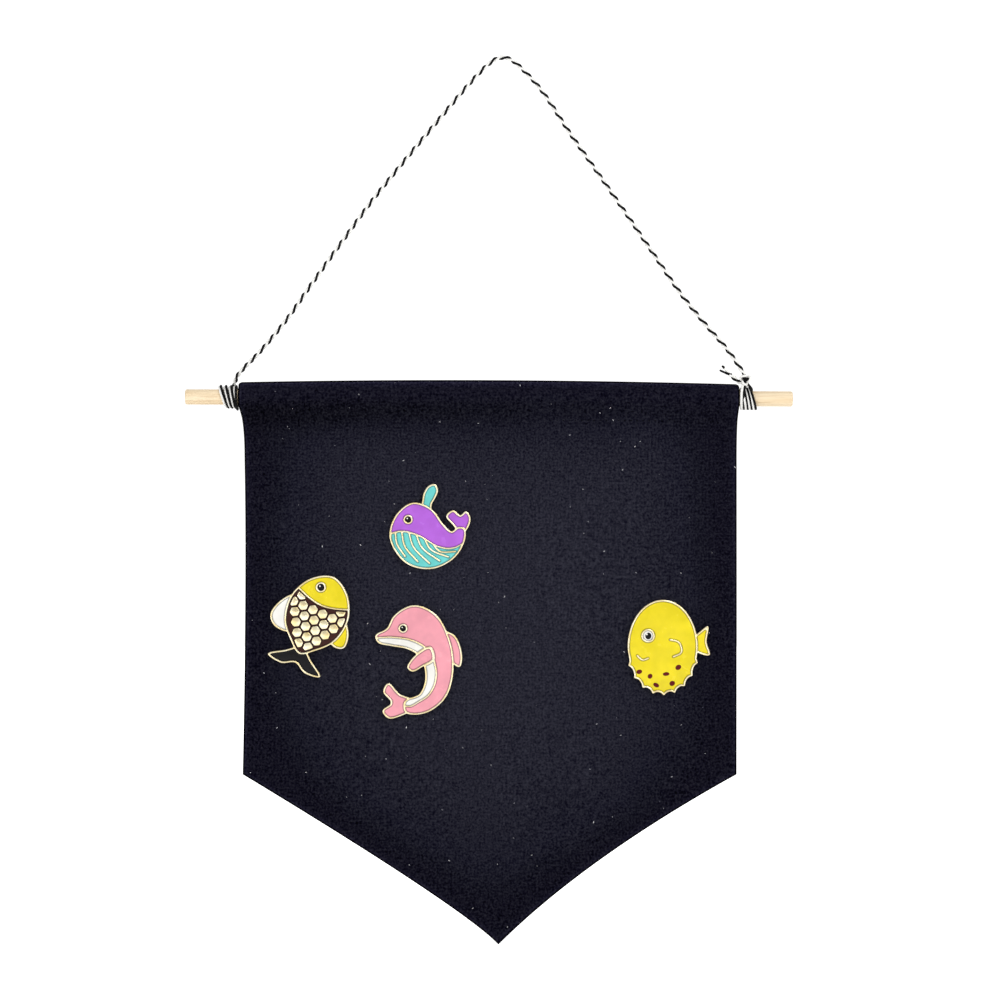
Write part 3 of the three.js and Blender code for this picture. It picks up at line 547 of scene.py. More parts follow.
def turnDowel():
    low, high, sides = dowelLow.x / mm, dowelHigh.x / mm, dowelForm["sides"]
    first, last = low + dowelForm["endRoom"][0], high - dowelForm["endRoom"][1]
    stations = [(low + inward, less) for inward, less in dowelForm["end"]]
    stations += [(x, 0) for x in np.arange(first, last, dowelForm["step"])]
    stations += [(high - inward, less) for inward, less in dowelForm["end"][::-1]]
    points = []
    for x, less in stations:
        for angle in 2 * math.pi * np.arange(sides) / sides:
            uneven = math.sin(3 * angle + x / 19) + math.sin(5 * angle - x / 31) - 1
            radius = dowelRadius - less + dowelForm["wobble"] * uneven
            points.append((x, radius * math.cos(angle), dowelAxis + radius * math.sin(angle)))
    points = leaning(np.array(points)) * mm
    mesh = meshOf("dowelRod", points, ringFaces(len(stations), sides), [pineWood()])
    settle("dowelRod", mesh, "hanger", ["dowel"], 40)


turnDowel()
print("dowel turned")


# Banner: two canvas layers, sewn and turned, with a pocket for the dowel

canvas = {
    "flares": (2.2, 0.9), "flareLength": 13.5, "bow": 0.9, "topTilt": 0.75, "liftFrom": 3.3,
    "sideHeight": 143.1, "pointX": -1.35, "hollows": (2.0, 3.6), "hollowsAt": (0.84, 0.59),
    "cornerRound": 1.2, "leftSway": (0.7, 3.1),
    "cloth": 0.6, "gap": 0.3, "ridge": 6.6, "ridgeDepth": 2.5, "seamDrop": 8, "slack": 0.3, "belowSeam": 8,
    "columnStep": 1.1, "rowStep": 1.6, "profileStep": 0.45, "arcSteps": 24, "easing": 6,
    "hem": (0, 0.1, 0.3, 0.6, 1.0), "hemRoom": 2, "lastRows": (1.3, 0.75, 0.4, 0.13, 0.0),
    "roll": 0.8, "rimShare": 0.12, "innerShare": 0.3, "leastDepth": 0.03, "wave": 0.2, "waveFrom": 60,
    "pucker": 0.42, "puckerReach": 0.8, "crease": 0.06, "creaseReach": 4.0, "creaseGap": 0.4,
    # painted highlight along the top of the pocket and painted shade under the dowel: strength, reach and
    # depth across the cloth
    "foldShine": 0.5, "foldReach": 6.5, "hollowDrop": 4.8, "hollowReach": (4.0, 8.0),
    "hollow": ((0, 0.3, 0.55, 0.8, 1), (0.44, 0.34, 0.25, 0.05, 0.15)),
    "softness": 9, "farthest": 200, "fullMark": {"rim": 3, "inland": 64, "fold": 2}, "thread": 0.5,
    # painted shade: the cloth's colour from the edges inward, darker near the edges where light falls off
    "falloffTone": [(0.1, (20, 19, 31)), (0.19, (24, 24, 35)), (0.28, (29, 29, 41)), (0.44, (34, 34, 45)),
             (0.6, (37, 37, 48)), (0.95, (40, 40, 51))],
    "seamTilt": 1.0, "seamEnds": (1.2, 0.8), "seamSink": 0.85, "seamSeed": 4,
    "stitchPitch": 2.2, "stitch": {"Length": 1.5, "Width": 0.42, "Height": 0.34},
    "lint": {"front": 3600.0, "back": 1440.0}, "lintSize": 0.34, "lintSeed": 11,
}
clothLow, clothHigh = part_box("front_panel")
clothLeft = clothLow.x / mm + canvas["flares"][0]
clothRight = clothHigh.x / mm - canvas["flares"][1]
clothTop, clothTip = dowelAxis + canvas["ridge"], clothLow.z / mm
cornerLevel = clothTop - canvas["sideHeight"]
seamLevel = dowelAxis - canvas["seamDrop"]


def blackCanvas():
    material, tree, spot = startMaterial("blackCanvas")
    flat = shader(tree, "UVMap", uv_map="clothUV")
    wobble = vectors(tree, "SCALE", noise(tree, flat, 160.0, output="Color"), 0.0004)
    axes = shader(tree, "SeparateXYZ", {0: vectors(tree, "ADD", flat, wobble)}).node.outputs
    threadRate = math.pi / (canvas["thread"] * mm)
    warp, weft = [maths(tree, "SINE", maths(tree, "MULTIPLY", axes[way], threadRate)) for way in "XY"]
    over = spread(tree, maths(tree, "MULTIPLY", warp, weft), -0.15, 0.15)
    warp, weft = maths(tree, "ABSOLUTE", warp), maths(tree, "ABSOLUTE", weft)
    warpOver = maths(tree, "MULTIPLY", warp, maths(tree, "MULTIPLY_ADD", weft, 0.5, 0.5))
    weftOver = maths(tree, "MULTIPLY", weft, maths(tree, "MULTIPLY_ADD", warp, 0.5, 0.5))
    weave = shader(tree, "Mix", {0: over, 2: weftOver, 3: warpOver}, data_type="FLOAT")
    across, down = [noise(tree, stretched(tree, flat, scale), 1.0, 3.0)
                    for scale in ((260, 1100, 1), (1100, 260, 1))]
    slub = maths(tree, "MULTIPLY", maths(tree, "ADD", across, down), 0.5)
    fluff = maths(tree, "MULTIPLY_ADD", noise(tree, spot, 1500.0, 4.0, 0.7), 0.5, weave)
    height = maths(tree, "MULTIPLY_ADD", slub, 0.7, fluff)

    # painted shade: darker towards the edges by the distance inland, with random patches of tone on top
    patch = maths(tree, "SUBTRACT", noise(tree, spot, 38.0, 3.0), 0.5)
    shadeAndMottle = maths(tree, "MULTIPLY_ADD", patch, 0.2, attribute(tree, "inland"))
    colour = ramp(tree, shadeAndMottle, [(place, paint(*falloffTone)) for place, falloffTone in canvas["falloffTone"]])
    grain = noise(tree, spot, 1250.0, 3.0, 0.65)
    tone = maths(tree, "MULTIPLY_ADD", slub, 0.45, maths(tree, "MULTIPLY_ADD", weave, 0.22, grain))
    shade = spread(tree, tone, 0.62, 1.12, -1.0, 1.12)
    # painted shade and highlight: a dark line right at the cloth's edge and a lighter line just inside it
    rimShadeAndHighlight = ramp(tree, attribute(tree, "rim"), [
        (0.12, grey(0.0)), (0.3, grey(1.9)), (0.5, grey(1.2)), (1.0, grey(1.0))])
    # painted light and shade of the pocket: paler along its top, darker under the dowel
    fold = maths(tree, "MULTIPLY", attribute(tree, "fold"), canvas["fullMark"]["fold"])
    for factor in (rimShadeAndHighlight, fold, maths(tree, "MULTIPLY_ADD", shade, 0.45, 1.0)):
        colour = mixColour(tree, colour, factor)
    colour = mixColour(tree, colour, maths(tree, "MULTIPLY", shade, 0.01), blend="ADD")
    return dress(material, {
        "Base Color": colour, "Roughness": roughSpread(tree, spot, 700, 0.85, 1.0),
        "Specular IOR Level": 0.03, "Normal": bumpOf(tree, height, 0.00025, 0.7),
    })


def threadFinish():
    material, tree, spot = startMaterial("blackThread")
    ply = shader(tree, "TexWave", {"Vector": spot, "Scale": 900.0, "Distortion": 1.5, "Detail": 1.0}, "Fac",
                 wave_type="BANDS", bands_direction="DIAGONAL")
    return dress(material, {
        "Base Color": ramp(tree, ply, [(0.1, paint(2, 2, 3)), (0.9, paint(9, 9, 12))]), "Roughness": 0.9,
        "Specular IOR Level": 0.05, "Normal": bumpOf(tree, ply, 0.0001, 0.5),
    })


def lintFinish():
    material, tree, spot = startMaterial("paleLint")
    tone = noise(tree, spot, 220.0)
    colour = ramp(tree, tone, [(0.32, paint(80, 80, 94)), (0.62, paint(238, 238, 242))])
    return dress(material, {"Base Color": colour, "Roughness": 0.9, "Specular IOR Level": 0.1})


def curve(a, b, c, t):  # a curve from a to c that is drawn towards b
    return (1 - t) ** 2 * a + 2 * t * (1 - t) * b + t ** 2 * c


def edgeAt(level, right):  # the side edge at a height: wide along the pocket, then eased in below its seam
    flare = canvas["flares"][1 if right else 0]
    plain = seamLevel - canvas["flareLength"]
    t = np.linspace(0, 1, canvas["arcSteps"])
    down = curve(dowelAxis - dowelRadius, seamLevel, plain, t)
    out = np.interp(level, down[::-1], (flare * (1 - t) ** 2)[::-1])
    corner = clothTop - canvas["bow"] - (canvas["topTilt"] if right else 0)
    near = np.clip(1 - (corner - level) / canvas["cornerRound"], 0, 1)
    out = out - canvas["cornerRound"] * (1 - np.sqrt(1 - near ** 2))
    if right:
        return clothRight + out
    share = np.clip((plain - level) / (plain - cornerLevel), 0, 1)
    first, second = canvas["leftSway"]
    return clothLeft - out + share * (first - share) * (second - share)  # it hangs a little bowed


def bottomAt(x):
    tip = np.array((canvas["pointX"], clothTip))
    left, right = np.array((clothLeft, cornerLevel)), np.array((clothRight, cornerLevel))
    (hollowLeft, hollowRight), (atLeft, atRight) = canvas["hollows"], canvas["hollowsAt"]
    line = []
    for a, b, hollow, share in ((left, tip, hollowLeft, atLeft), (tip, right, hollowRight, 1 - atRight)):
        inward = np.array((a[1] - b[1], b[0] - a[0]))
        drawn = a + (b - a) * share + inward / np.linalg.norm(inward) * 2 * hollow
        line.append(curve(a, drawn, b, np.linspace(0, 1, 40)[:, None]))
    line = np.vstack(line)
    return np.interp(x, line[:, 0], line[:, 1])


def layerProfile():  # one layer in side view: depth from the middle plane, and height from the dowel's axis
    flat = canvas["gap"] / 2 + canvas["cloth"]
    radius = dowelRadius + canvas["slack"] + canvas["cloth"]
    foot, seam = canvas["ridge"] - canvas["ridgeDepth"], canvas["seamDrop"]
    above = math.atan2(foot, flat) - math.acos(radius / math.hypot(flat, foot))
    below = math.atan2(-seam, flat) + math.acos(radius / math.hypot(flat, seam))
    line = [(flat, canvas["ridge"]), (flat, foot)]
    arc = np.linspace(above, below, canvas["arcSteps"])
    line += [(radius * math.cos(a), radius * math.sin(a)) for a in arc]
    line = np.array(line + [(flat, -seam), (flat, -seam - canvas["belowSeam"])])
    run = np.concatenate([[0], np.cumsum(stepsOf(line))])
    along = np.linspace(0, run[-1], int(run[-1] / canvas["profileStep"]))
    line = np.column_stack([np.interp(along, run, line[:, k]) for k in (0, 1)])
    for _ in range(canvas["easing"]):
        line[1:-1] = 0.25 * line[:-2] + 0.5 * line[1:-1] + 0.25 * line[2:]
    return line, along


def smoothStep(value):
    t = np.clip(value, 0, 1)
    return t * t * (3 - 2 * t)


def clothLines():  # columns across, and rows down the cloth: height, depth and length of cloth from the top
    profile, along = layerProfile()
    hem, room, point = np.array(canvas["hem"]), canvas["hemRoom"], canvas["pointX"]
    columns = lambda a, b: np.linspace(a, b, int((b - a) / canvas["columnStep"]) + 1)
    xs = np.concatenate([clothLeft + hem, columns(clothLeft + room, point),
                         columns(point, clothRight - room)[1:], clothRight - hem[::-1]])
    share = (xs - clothLeft) / (clothRight - clothLeft)
    bow, tilt, lifted = canvas["bow"], canvas["topTilt"], canvas["liftFrom"]
    topShift = 2 * share * (1 - share) * bow - (1 - share) ** 2 * bow - share ** 2 * (bow + tilt)
    even = np.ones(len(xs))
    rows = []
    for (depth, height), run in zip(profile, along):
        lift = topShift * smoothStep((height - lifted) / (canvas["ridge"] - lifted))
        rows.append((dowelAxis + height + lift, depth * even, run * even))
    flat, start = profile[-1][0] * even, dowelAxis + profile[-1][1]
    bottom = bottomAt(xs)
    deep = start - bottom
    count = int((start - clothTip) / canvas["rowStep"])
    for t in np.arange(1, count) / count:
        down = t * (deep - canvas["lastRows"][0])
        rows.append((start - down, flat, along[-1] + down))
    rows += [(bottom + left, flat, along[-1] + deep - left) for left in canvas["lastRows"]]
    return xs, share, bottom, *[np.array(part) for part in zip(*rows)]


def clothGrid(side):
    xs, share, bottom, z, depth, run = clothLines()
    leftEdge, rightEdge = edgeAt(z, False), edgeAt(z, True)
    x = leftEdge + share * (rightEdge - leftEdge)
    ways = [x - leftEdge, rightEdge - x, run]  # distance from each edge
    slope = np.abs(np.gradient(bottom, xs))
    rim = np.minimum.reduce([*ways, (z - bottom) / np.sqrt(1 + slope ** 2)])
    point, drop, soft = canvas["pointX"], cornerLevel - clothTip, canvas["softness"]
    for hand, reach in ((-1, point - clothLeft), (1, clothRight - point)):
        ways.append(((z - clothTip) * reach - hand * (x - point) * drop) / math.hypot(reach, drop))
    ways = np.clip(ways, 0, canvas["farthest"])
    inland = -soft * np.log(np.exp(-ways / soft).sum(0))  # a softened distance from the nearest edge, which sets the painted shade towards the edges

    # painted light and shade: the cloth is painted paler along the top where it turns over the dowel, as if
    # lit there, and darker under the dowel, as if shaded there
    under = z - dowelAxis + canvas["hollowDrop"]
    reach = np.where(under > 0, *canvas["hollowReach"])
    hollow = np.interp(share, *canvas["hollow"]) * np.exp(-(under / reach) ** 2)
    fold = 1 + canvas["foldShine"] * np.exp(-(run / canvas["foldReach"]) ** 2) - hollow

    off = z - (seamLevel + canvas["seamTilt"] * (0.5 - share))
    pull = 0.6 + 0.4 * np.cos(2 * math.pi * x / canvas["stitchPitch"])  # most at each stitch
    depth = depth - canvas["pucker"] * np.exp(-(off / canvas["puckerReach"]) ** 2) * pull
    crease = np.sin(x / 2.3 + 2 * np.sin(x / 9)) + 0.7 * np.sin(x / 4.1 + 1.3 * np.sin(x / 17))
    near = np.exp(-np.abs(off) / canvas["creaseReach"]) * (np.abs(off) > canvas["creaseGap"])
    depth = depth + canvas["crease"] * crease * near
    inner = np.maximum(depth - canvas["cloth"], canvas["leastDepth"])
    bend = np.sqrt(np.clip(1 - (1 - np.clip(rim / canvas["roll"], 0, 1)) ** 2, 0, 1))
    outer = inner + (depth - inner) * (canvas["rimShare"] + (1 - canvas["rimShare"]) * bend)
    inner = inner * (canvas["innerShare"] + (1 - canvas["innerShare"]) * bend)
    hang = smoothStep((seamLevel - z) / canvas["waveFrom"])
    sway = canvas["wave"] * hang * (np.sin(x / 17 + z / 41 + 0.6) + 0.7 * np.sin(x / 29 - z / 23 + 2.0))
    toWorld = lambda d: np.stack([x, -side * d - sway, z], axis=-1).reshape(-1, 3) * mm
    flatUv = np.column_stack([x.ravel(), -run.ravel()]) * mm
    marks = {"rim": rim, "inland": inland, "fold": fold}
    shares = {label: values.ravel() / canvas["fullMark"][label] for label, values in marks.items()}
    return toWorld(outer), toWorld(inner), flatUv, shares, z.shape


def clothPanel(name, node, side, material):
    outer, inner, flatUv, shares, (rows, columns) = clothGrid(side)
    total = rows * columns
    at = np.arange(total).reshape(rows, columns)
    quads = np.stack([at[:-1, :-1], at[1:, :-1], at[1:, 1:], at[:-1, 1:]], axis=-1).reshape(-1, 4)
    border = np.concatenate([at[0, :-1], at[:-1, -1], at[-1, :0:-1], at[:0:-1, 0]])
    ahead = np.roll(border, -1)
    walls = np.stack([border, ahead, ahead + total, border + total], axis=-1)
    faces = np.vstack([quads, quads[:, ::-1] + total, walls])
    mesh = meshOf(name, np.vstack([outer, inner]), faces.tolist(), [material])
    layer = mesh.uv_layers.new(name="clothUV")
    corner = np.zeros(len(mesh.loops), np.int32)
    mesh.loops.foreach_get("vertex_index", corner)
    layer.data.foreach_set("uv", np.vstack([flatUv, flatUv])[corner].astype(np.float32).ravel())
    for label, values in shares.items():
        mark(mesh, label, np.tile(np.clip(values, 0, 1), 2))
    return settle(name, mesh, "banner", [node], 60), outer, quads


def randomWay(tree, low, high, seed):
    return addNode(tree, "FunctionNodeRandomValue", {0: low, 1: high, "Seed": seed}, data_type="FLOAT_VECTOR")


def stitchTree():
    tree, take = startTree("seamStitches", {
        "Float": ("Pitch", "Length", "Width", "Height"), "Int": ("Seed",), "Material": ("Thread",),
    })
    line = geometry(tree, "MeshToCurve", {"Mesh": take["Geometry"]})
    line = geometry(tree, "ResampleCurve", {"Curve": line, "Length": take["Pitch"]}, mode="LENGTH")
    bead = geometry(tree, "MeshUVSphere", {"Segments": 8, "Rings": 6, "Radius": 0.5})
    size = shader(tree, "CombineXYZ", {"X": take["Length"], "Y": take["Height"], "Z": take["Width"]})
    bead = geometry(tree, "Transform", {"Geometry": bead, "Scale": size})
    lean = randomWay(tree, (0, -0.03, -0.03), (0, 0.12, 0.03), take["Seed"])
    fit = randomWay(tree, (0.9, 0.85, 0.9), (1.05, 1.1, 1.1), take["Seed"])
    row = geometry(tree, "InstanceOnPoints", {
        "Points": line, "Instance": bead, "Rotation": lean, "Scale": fit,
    })
    return endTree(tree, row, take["Thread"])


def lintTree():
    tree, take = startTree("lintSpecks", {
        "Float": ("Density", "Size"), "Int": ("Seed",), "Material": ("Fibre",),
    })
    spots = geometry(tree, "DistributePointsOnFaces", {
        "Mesh": take["Geometry"], "Density": take["Density"], "Seed": take["Seed"],
    }, distribute_method="RANDOM").node.outputs
    fleck = geometry(tree, "MeshIcoSphere", {"Radius": 0.5, "Subdivisions": 2})
    fleck = geometry(tree, "Transform", {"Geometry": fleck, "Scale": (1.6, 0.5, 0.35)})
    spin = randomWay(tree, (0, 0, 0), (0, 0, 6.28), take["Seed"])
    turn = addNode(tree, "FunctionNodeRotateRotation", {0: spots["Rotation"], 1: spin},
                   rotation_space="LOCAL")
    size = addNode(tree, "FunctionNodeRandomValue", {2: 0.35, 3: 1.5, "Seed": take["Seed"]}, 1,
                   data_type="FLOAT")
    flecks = geometry(tree, "InstanceOnPoints", {
        "Points": spots["Points"], "Instance": fleck, "Rotation": turn,
        "Scale": maths(tree, "MULTIPLY", size, take["Size"]),
    })
    return endTree(tree, flecks, take["Fibre"])


def sewBanner():
    cloth, thread, lint = blackCanvas(), threadFinish(), lintFinish()
    stitches, specks = stitchTree(), lintTree()
    xs = np.linspace(clothLeft, clothRight, 400)
    area = float((clothTop - bottomAt(xs)).mean() * (clothRight - clothLeft)) * mm * mm
    fromLeft, fromRight = canvas["seamEnds"]
    left, right = edgeAt(seamLevel, False) + fromLeft, edgeAt(seamLevel, True) - fromRight
    tilt = canvas["seamTilt"] / 2
    stitch = {way: size * mm for way, size in canvas["stitch"].items()}
    for label, side in (("front", 1), ("back", -1)):
        panel, outer, quads = clothPanel(label + "Canvas", label + "_panel", side, cloth)
        face = -side * (canvas["gap"] / 2 + canvas["cloth"] - canvas["seamSink"] * canvas["pucker"])
        path = np.linspace((left, face, seamLevel + tilt), (right, face, seamLevel - tilt), 40) * mm
        mesh = grow(label + "Seam", stitches, lineMesh(label + "SeamLine", path), {
            **stitch, "Pitch": canvas["stitchPitch"] * mm, "Seed": canvas["seamSeed"] + side,
            "Thread": thread,
        })
        seam = settle(label + "Seam", mesh, "banner", ())
        bare = meshOf(label + "LintBase", outer, quads.tolist(), [], False)
        mesh = grow(label + "Lint", specks, bare, {
            "Density": canvas["lint"][label], "Size": canvas["lintSize"] * mm,
            "Seed": canvas["lintSeed"] + side, "Fibre": lint,
        })
        dust = settle(label + "Lint", mesh, "banner")
        print(label, "layer sewn, area", round(area, 5), "m2")


sewBanner()


# Badges: struck plates with raised lines, and enamel in the fields between them

badge = {
    "shortEdge": 0.06, "spacing": 0.25, "sharpTurn": 50, "easing": 2, "edge": 0.2, "edgeSteps": (0.06, 0.2),
    "wellDepth": 0.5, "sink": 0.2, "keepShare": 0.93, "frontWithin": 2e-5, "joinWithin": 2e-6,
    "meniscus": (0.07, 0.14), "swell": (0.07, 2.2),  # how high, and how far in
    "shores": (0.08, 0.2, 0.45, 0.9), "gridStep": 1.1, "gridRoom": 1.2, "floorGap": 0.02, "batch": 400,
    "fields": {
        "whale": {"back": "violet", "belly": "turquoise", "fluke": "violet", "spout": "turquoise",
                  "eye": "black"},
        "dolphin": {"back": "pink", "throat": "white", "belly": "white", "fluke": "pink", "fin": "pink",
                    "flipper": "pink", "eye": "black"},
        "fish": {"net": "umber", "head": "yellow", "tail": "black", "top_fin": "white", "low_fin": "yellow",
                 "eye": "black"},
        "puffer": {"body": "yellow", "tail": "yellow", "eye": "white"},
    },
    "colours": {
        "violet": (176, 96, 212), "turquoise": (104, 206, 202), "pink": (240, 159, 172),
        "white": (246, 244, 238), "black": (16, 15, 18), "yellow": (236, 215, 8), "umber": (58, 26, 20),
    },
}


def metalFinish(name, bright, deep, smoothest, roughest):
    material, tree, spot = startMaterial(name)
    colour = ramp(tree, noise(tree, spot, 260.0, 3.0), [(0.35, deep), (0.65, bright)])
    return dress(material, {
        "Base Color": colour, "Metallic": 1.0, "Roughness": roughSpread(tree, spot, 420, smoothest, roughest),
        "Normal": bumpOf(tree, noise(tree, spot, 2400.0, 3.0), 0.00004, 0.25),
    })


def enamelFinish(name, colour):
    material, tree, spot = startMaterial(name)
    base = np.array(paint(*colour))
    pale, deep = base * 1.06 + 0.004, base * 0.9
    pale[3] = deep[3] = 1.0
    tone = noise(tree, spot, 150.0, 3.0)
    fill = ramp(tree, tone, [(0.32, tuple(deep)), (0.68, tuple(np.minimum(pale, 1)))])
    depth = ramp(tree, attribute(tree, "shore"), [  # painted shade: darker against the metal, where the raised walls shade the sunk enamel
        (0.0, grey(0.3)), (0.2, grey(0.55)), (0.45, grey(1.0))])
    return dress(material, {
        "Base Color": mixColour(tree, fill, depth), "Roughness": roughSpread(tree, spot, 300, 0.14, 0.3),
        "Specular IOR Level": 0.15 if max(colour) < 100 else 0.35,
        "Normal": bumpOf(tree, noise(tree, spot, 700.0, 1.0), 0.00008, 0.12),
    })


gilt = metalFinish("paleGold", paint(255, 246, 214), paint(244, 222, 164), 0.2, 0.34)
steel = metalFinish("postSteel", paint(214, 212, 206), paint(176, 174, 170), 0.22, 0.4)
brass = metalFinish("clutchBrass", paint(232, 206, 132), paint(196, 160, 84), 0.24, 0.42)
enamels = {name: enamelFinish("enamel-" + name, colour) for name, colour in badge["colours"].items()}


def openNode(node):
    shape = bmesh.new()
    shape.from_mesh(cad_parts[node].data)
    bmesh.ops.remove_doubles(shape, verts=shape.verts, dist=badge["joinWithin"])
    return shape


def chain(pairs):  # steps from point to point, joined into closed loops
    following = {}
    for a, b in pairs:
        following.setdefault(a, []).append(b)
    loops = []
    while following:
        start = at = next(iter(following))
        loop = []
        while at in following:
            loop.append(at)
            ahead = following[at].pop()
            if not following[at]:
                del following[at]
            at = ahead
            if at == start:
                break
        loops.append(loop)
    return [loop for loop in loops if len(loop) > 3]


def frontLoops(node):  # outlines of a node's front face in millimetres, with the face on the left
    shape = openNode(node)
    front = min(v.co.y for v in shape.verts)
    level = lambda face: all(abs(v.co.y - front) < badge["frontWithin"] for v in face.verts)
    faces = {face for face in shape.faces if face.normal.y < -0.9 and level(face)}
    pairs = [(corner.vert, corner.link_loop_next.vert) for face in faces for corner in face.loops
             if sum(other in faces for other in corner.edge.link_faces) == 1]
    loops = [np.array([(v.co.x / mm, v.co.z / mm) for v in loop]) for loop in chain(pairs)]
    shape.free()
    return loops, -front / mm


def roundLoop(loop):  # a faceted outline becomes a smooth one, and keeps its sharp corners nearly sharp
    gaps = np.linalg.norm(loop - np.roll(loop, 1, 0), axis=1)
    loop = loop[gaps > badge["shortEdge"]]
    before, after = loop - np.roll(loop, 1, 0), np.roll(loop, -1, 0) - loop
    cross = before[:, 0] * after[:, 1] - before[:, 1] * after[:, 0]
    turn = np.degrees(np.abs(np.arctan2(cross, (before * after).sum(1))))
    corners = np.flatnonzero(turn > badge["sharpTurn"])
    if len(corners) == 0:
        line = smoothPath(loop, badge["spacing"], True)
    else:
        parts = []
        for a, b in zip(corners, np.roll(corners, -1)):
            count = (b - a) % len(loop) or len(loop)
            part = loop[(a + np.arange(count + 1)) % len(loop)]
            parts.append(smoothPath(part, badge["spacing"])[:-1])
        line = np.vstack(parts)
    for _ in range(badge["easing"]):
        line = 0.25 * np.roll(line, 1, 0) + 0.5 * line + 0.25 * np.roll(line, -1, 0)
    return line


def overLoops(points, loops, work):  # compares a batch of points at a time with every edge of the outlines
    a, b = np.vstack(loops), np.vstack([np.roll(loop, -1, 0) for loop in loops])
    starts = range(0, len(points), badge["batch"])
    return np.concatenate([work(points[i:i + badge["batch"]], a, b) for i in starts])


def nearness(points, a, b):
    edge = b - a
    part = points[:, None, :] - a
    t = np.clip((part * edge).sum(2) / np.maximum((edge ** 2).sum(1), 1e-12), 0, 1)
    return np.sqrt(((part - t[..., None] * edge) ** 2).sum(2).min(1))


def crossings(points, a, b):
    x, y = points[:, 0:1], points[:, 1:2]
    spans = (a[:, 1] > y) != (b[:, 1] > y)
    rise = np.where(b[:, 1] == a[:, 1], 1e-12, b[:, 1] - a[:, 1])
    cut = a[:, 0] + (y - a[:, 1]) / rise * (b[:, 0] - a[:, 0])
    return (spans & (x < cut)).sum(1) % 2 == 1


def farFrom(points, loops):  # distance of each point to the nearest outline
    return overLoops(points, loops, nearness)


def insideOf(points, loops):
    return overLoops(points, loops, crossings)


def moveLeft(loop, distance):  # an outline moved into its own side, with what folds over left out
    way = np.roll(loop, -1, 0) - np.roll(loop, 1, 0)
    way = way / np.maximum(np.linalg.norm(way, axis=1, keepdims=True), 1e-9)
    moved = loop + distance * np.column_stack([-way[:, 1], way[:, 0]])
    return moved[farFrom(moved, [loop]) > badge["keepShare"] * distance]


def triangulate(loops, loose=()):
    points = np.vstack([*loops, loose] if len(loose) else loops)
    edges, first = [], 0
    for loop in loops:
        edges += [(first + i, first + (i + 1) % len(loop)) for i in range(len(loop))]
        first += len(loop)
    made = delaunay_2d_cdt([Vector(p) for p in points], edges, [], 0, 1e-6)
    spots = np.array([tuple(v) for v in made[0]])
    faces = np.array([tuple(f) for f in made[2]])
    a, b, c = spots[faces[:, 0]], spots[faces[:, 1]], spots[faces[:, 2]]
    area = (b[:, 0] - a[:, 0]) * (c[:, 1] - a[:, 1]) - (b[:, 1] - a[:, 1]) * (c[:, 0] - a[:, 0])
    faces[area < 0] = faces[area < 0][:, ::-1]
    return spots, faces, (a + b + c) / 3


def edgeSet(faces):
    return {(f[i], f[(i + 1) % 3]) for f in faces.tolist() for i in range(3)}


def atLevel(spots, level):  # a flat drawing set up in front of the cloth
    return np.column_stack([spots[:, 0], -level, spots[:, 1]])


def dropRound(distance, size):  # how far a rounded edge lies below the face, at a distance from the rim
    t = np.clip(1 - distance / size, 0, 1)
    return size * (1 - np.sqrt(np.maximum(1 - t ** 2, 0)))


def dropLoose(shape):
    bmesh.ops.delete(shape, geom=[v for v in shape.verts if not v.link_faces], context="VERTS")


def strikePlate(name, loops, outerLoops, front, back):
    edge = badge["edge"]
    rings = [moveLeft(loop, d) for loop in loops for d in badge["edgeSteps"]]
    spots, faces, centres = triangulate([*loops, *[r for r in rings if len(r) > 3]])
    metal, whole = insideOf(centres, loops), insideOf(centres, outerLoops)
    wells = whole & ~metal
    farOuter = farFrom(spots, outerLoops)
    count = len(spots)
    top = front - dropRound(farFrom(spots, loops), edge)
    low = np.where(farOuter < edge, back + dropRound(farOuter, edge), back)
    floor = np.full(count, front - badge["wellDepth"])
    points = np.vstack([atLevel(spots, level) for level in (top, floor, low)])
    made = [faces[metal], faces[wells] + count, faces[whole][:, ::-1] + 2 * count]
    metalEdges, wellEdges = edgeSet(faces[metal]), edgeSet(faces[wells])
    walls = []
    for a, b in sorted(metalEdges):
        if (b, a) not in metalEdges:
            level = count if (b, a) in wellEdges else 2 * count
            walls.append((b, a, a + level, b + level))
    mesh = meshOf(name, points * mm, [f for part in made for f in part.tolist()] + walls, [gilt])
    reshape(mesh, dropLoose)
    return mesh, spots, faces, wells


def wellFields(faces, wells):  # the sunk fields, each as its own set of triangles
    index = np.flatnonzero(wells)
    owner = {(faces[i][k], faces[i][(k + 1) % 3]): i for i in index for k in range(3)}
    seen, fields = set(), []
    for i in index:
        if i in seen:
            continue
        todo, field = [i], []
        seen.add(i)
        while todo:
            at = todo.pop()
            field.append(at)
            for k in range(3):
                other = owner.get((faces[at][(k + 1) % 3], faces[at][k]))
                if other is not None and other not in seen:
                    seen.add(other)
                    todo.append(other)
        fields.append(faces[field])
    return fields


def borderLoops(field, spots):
    edges = edgeSet(field)
    return [spots[loop] for loop in chain((a, b) for a, b in edges if (b, a) not in edges)]


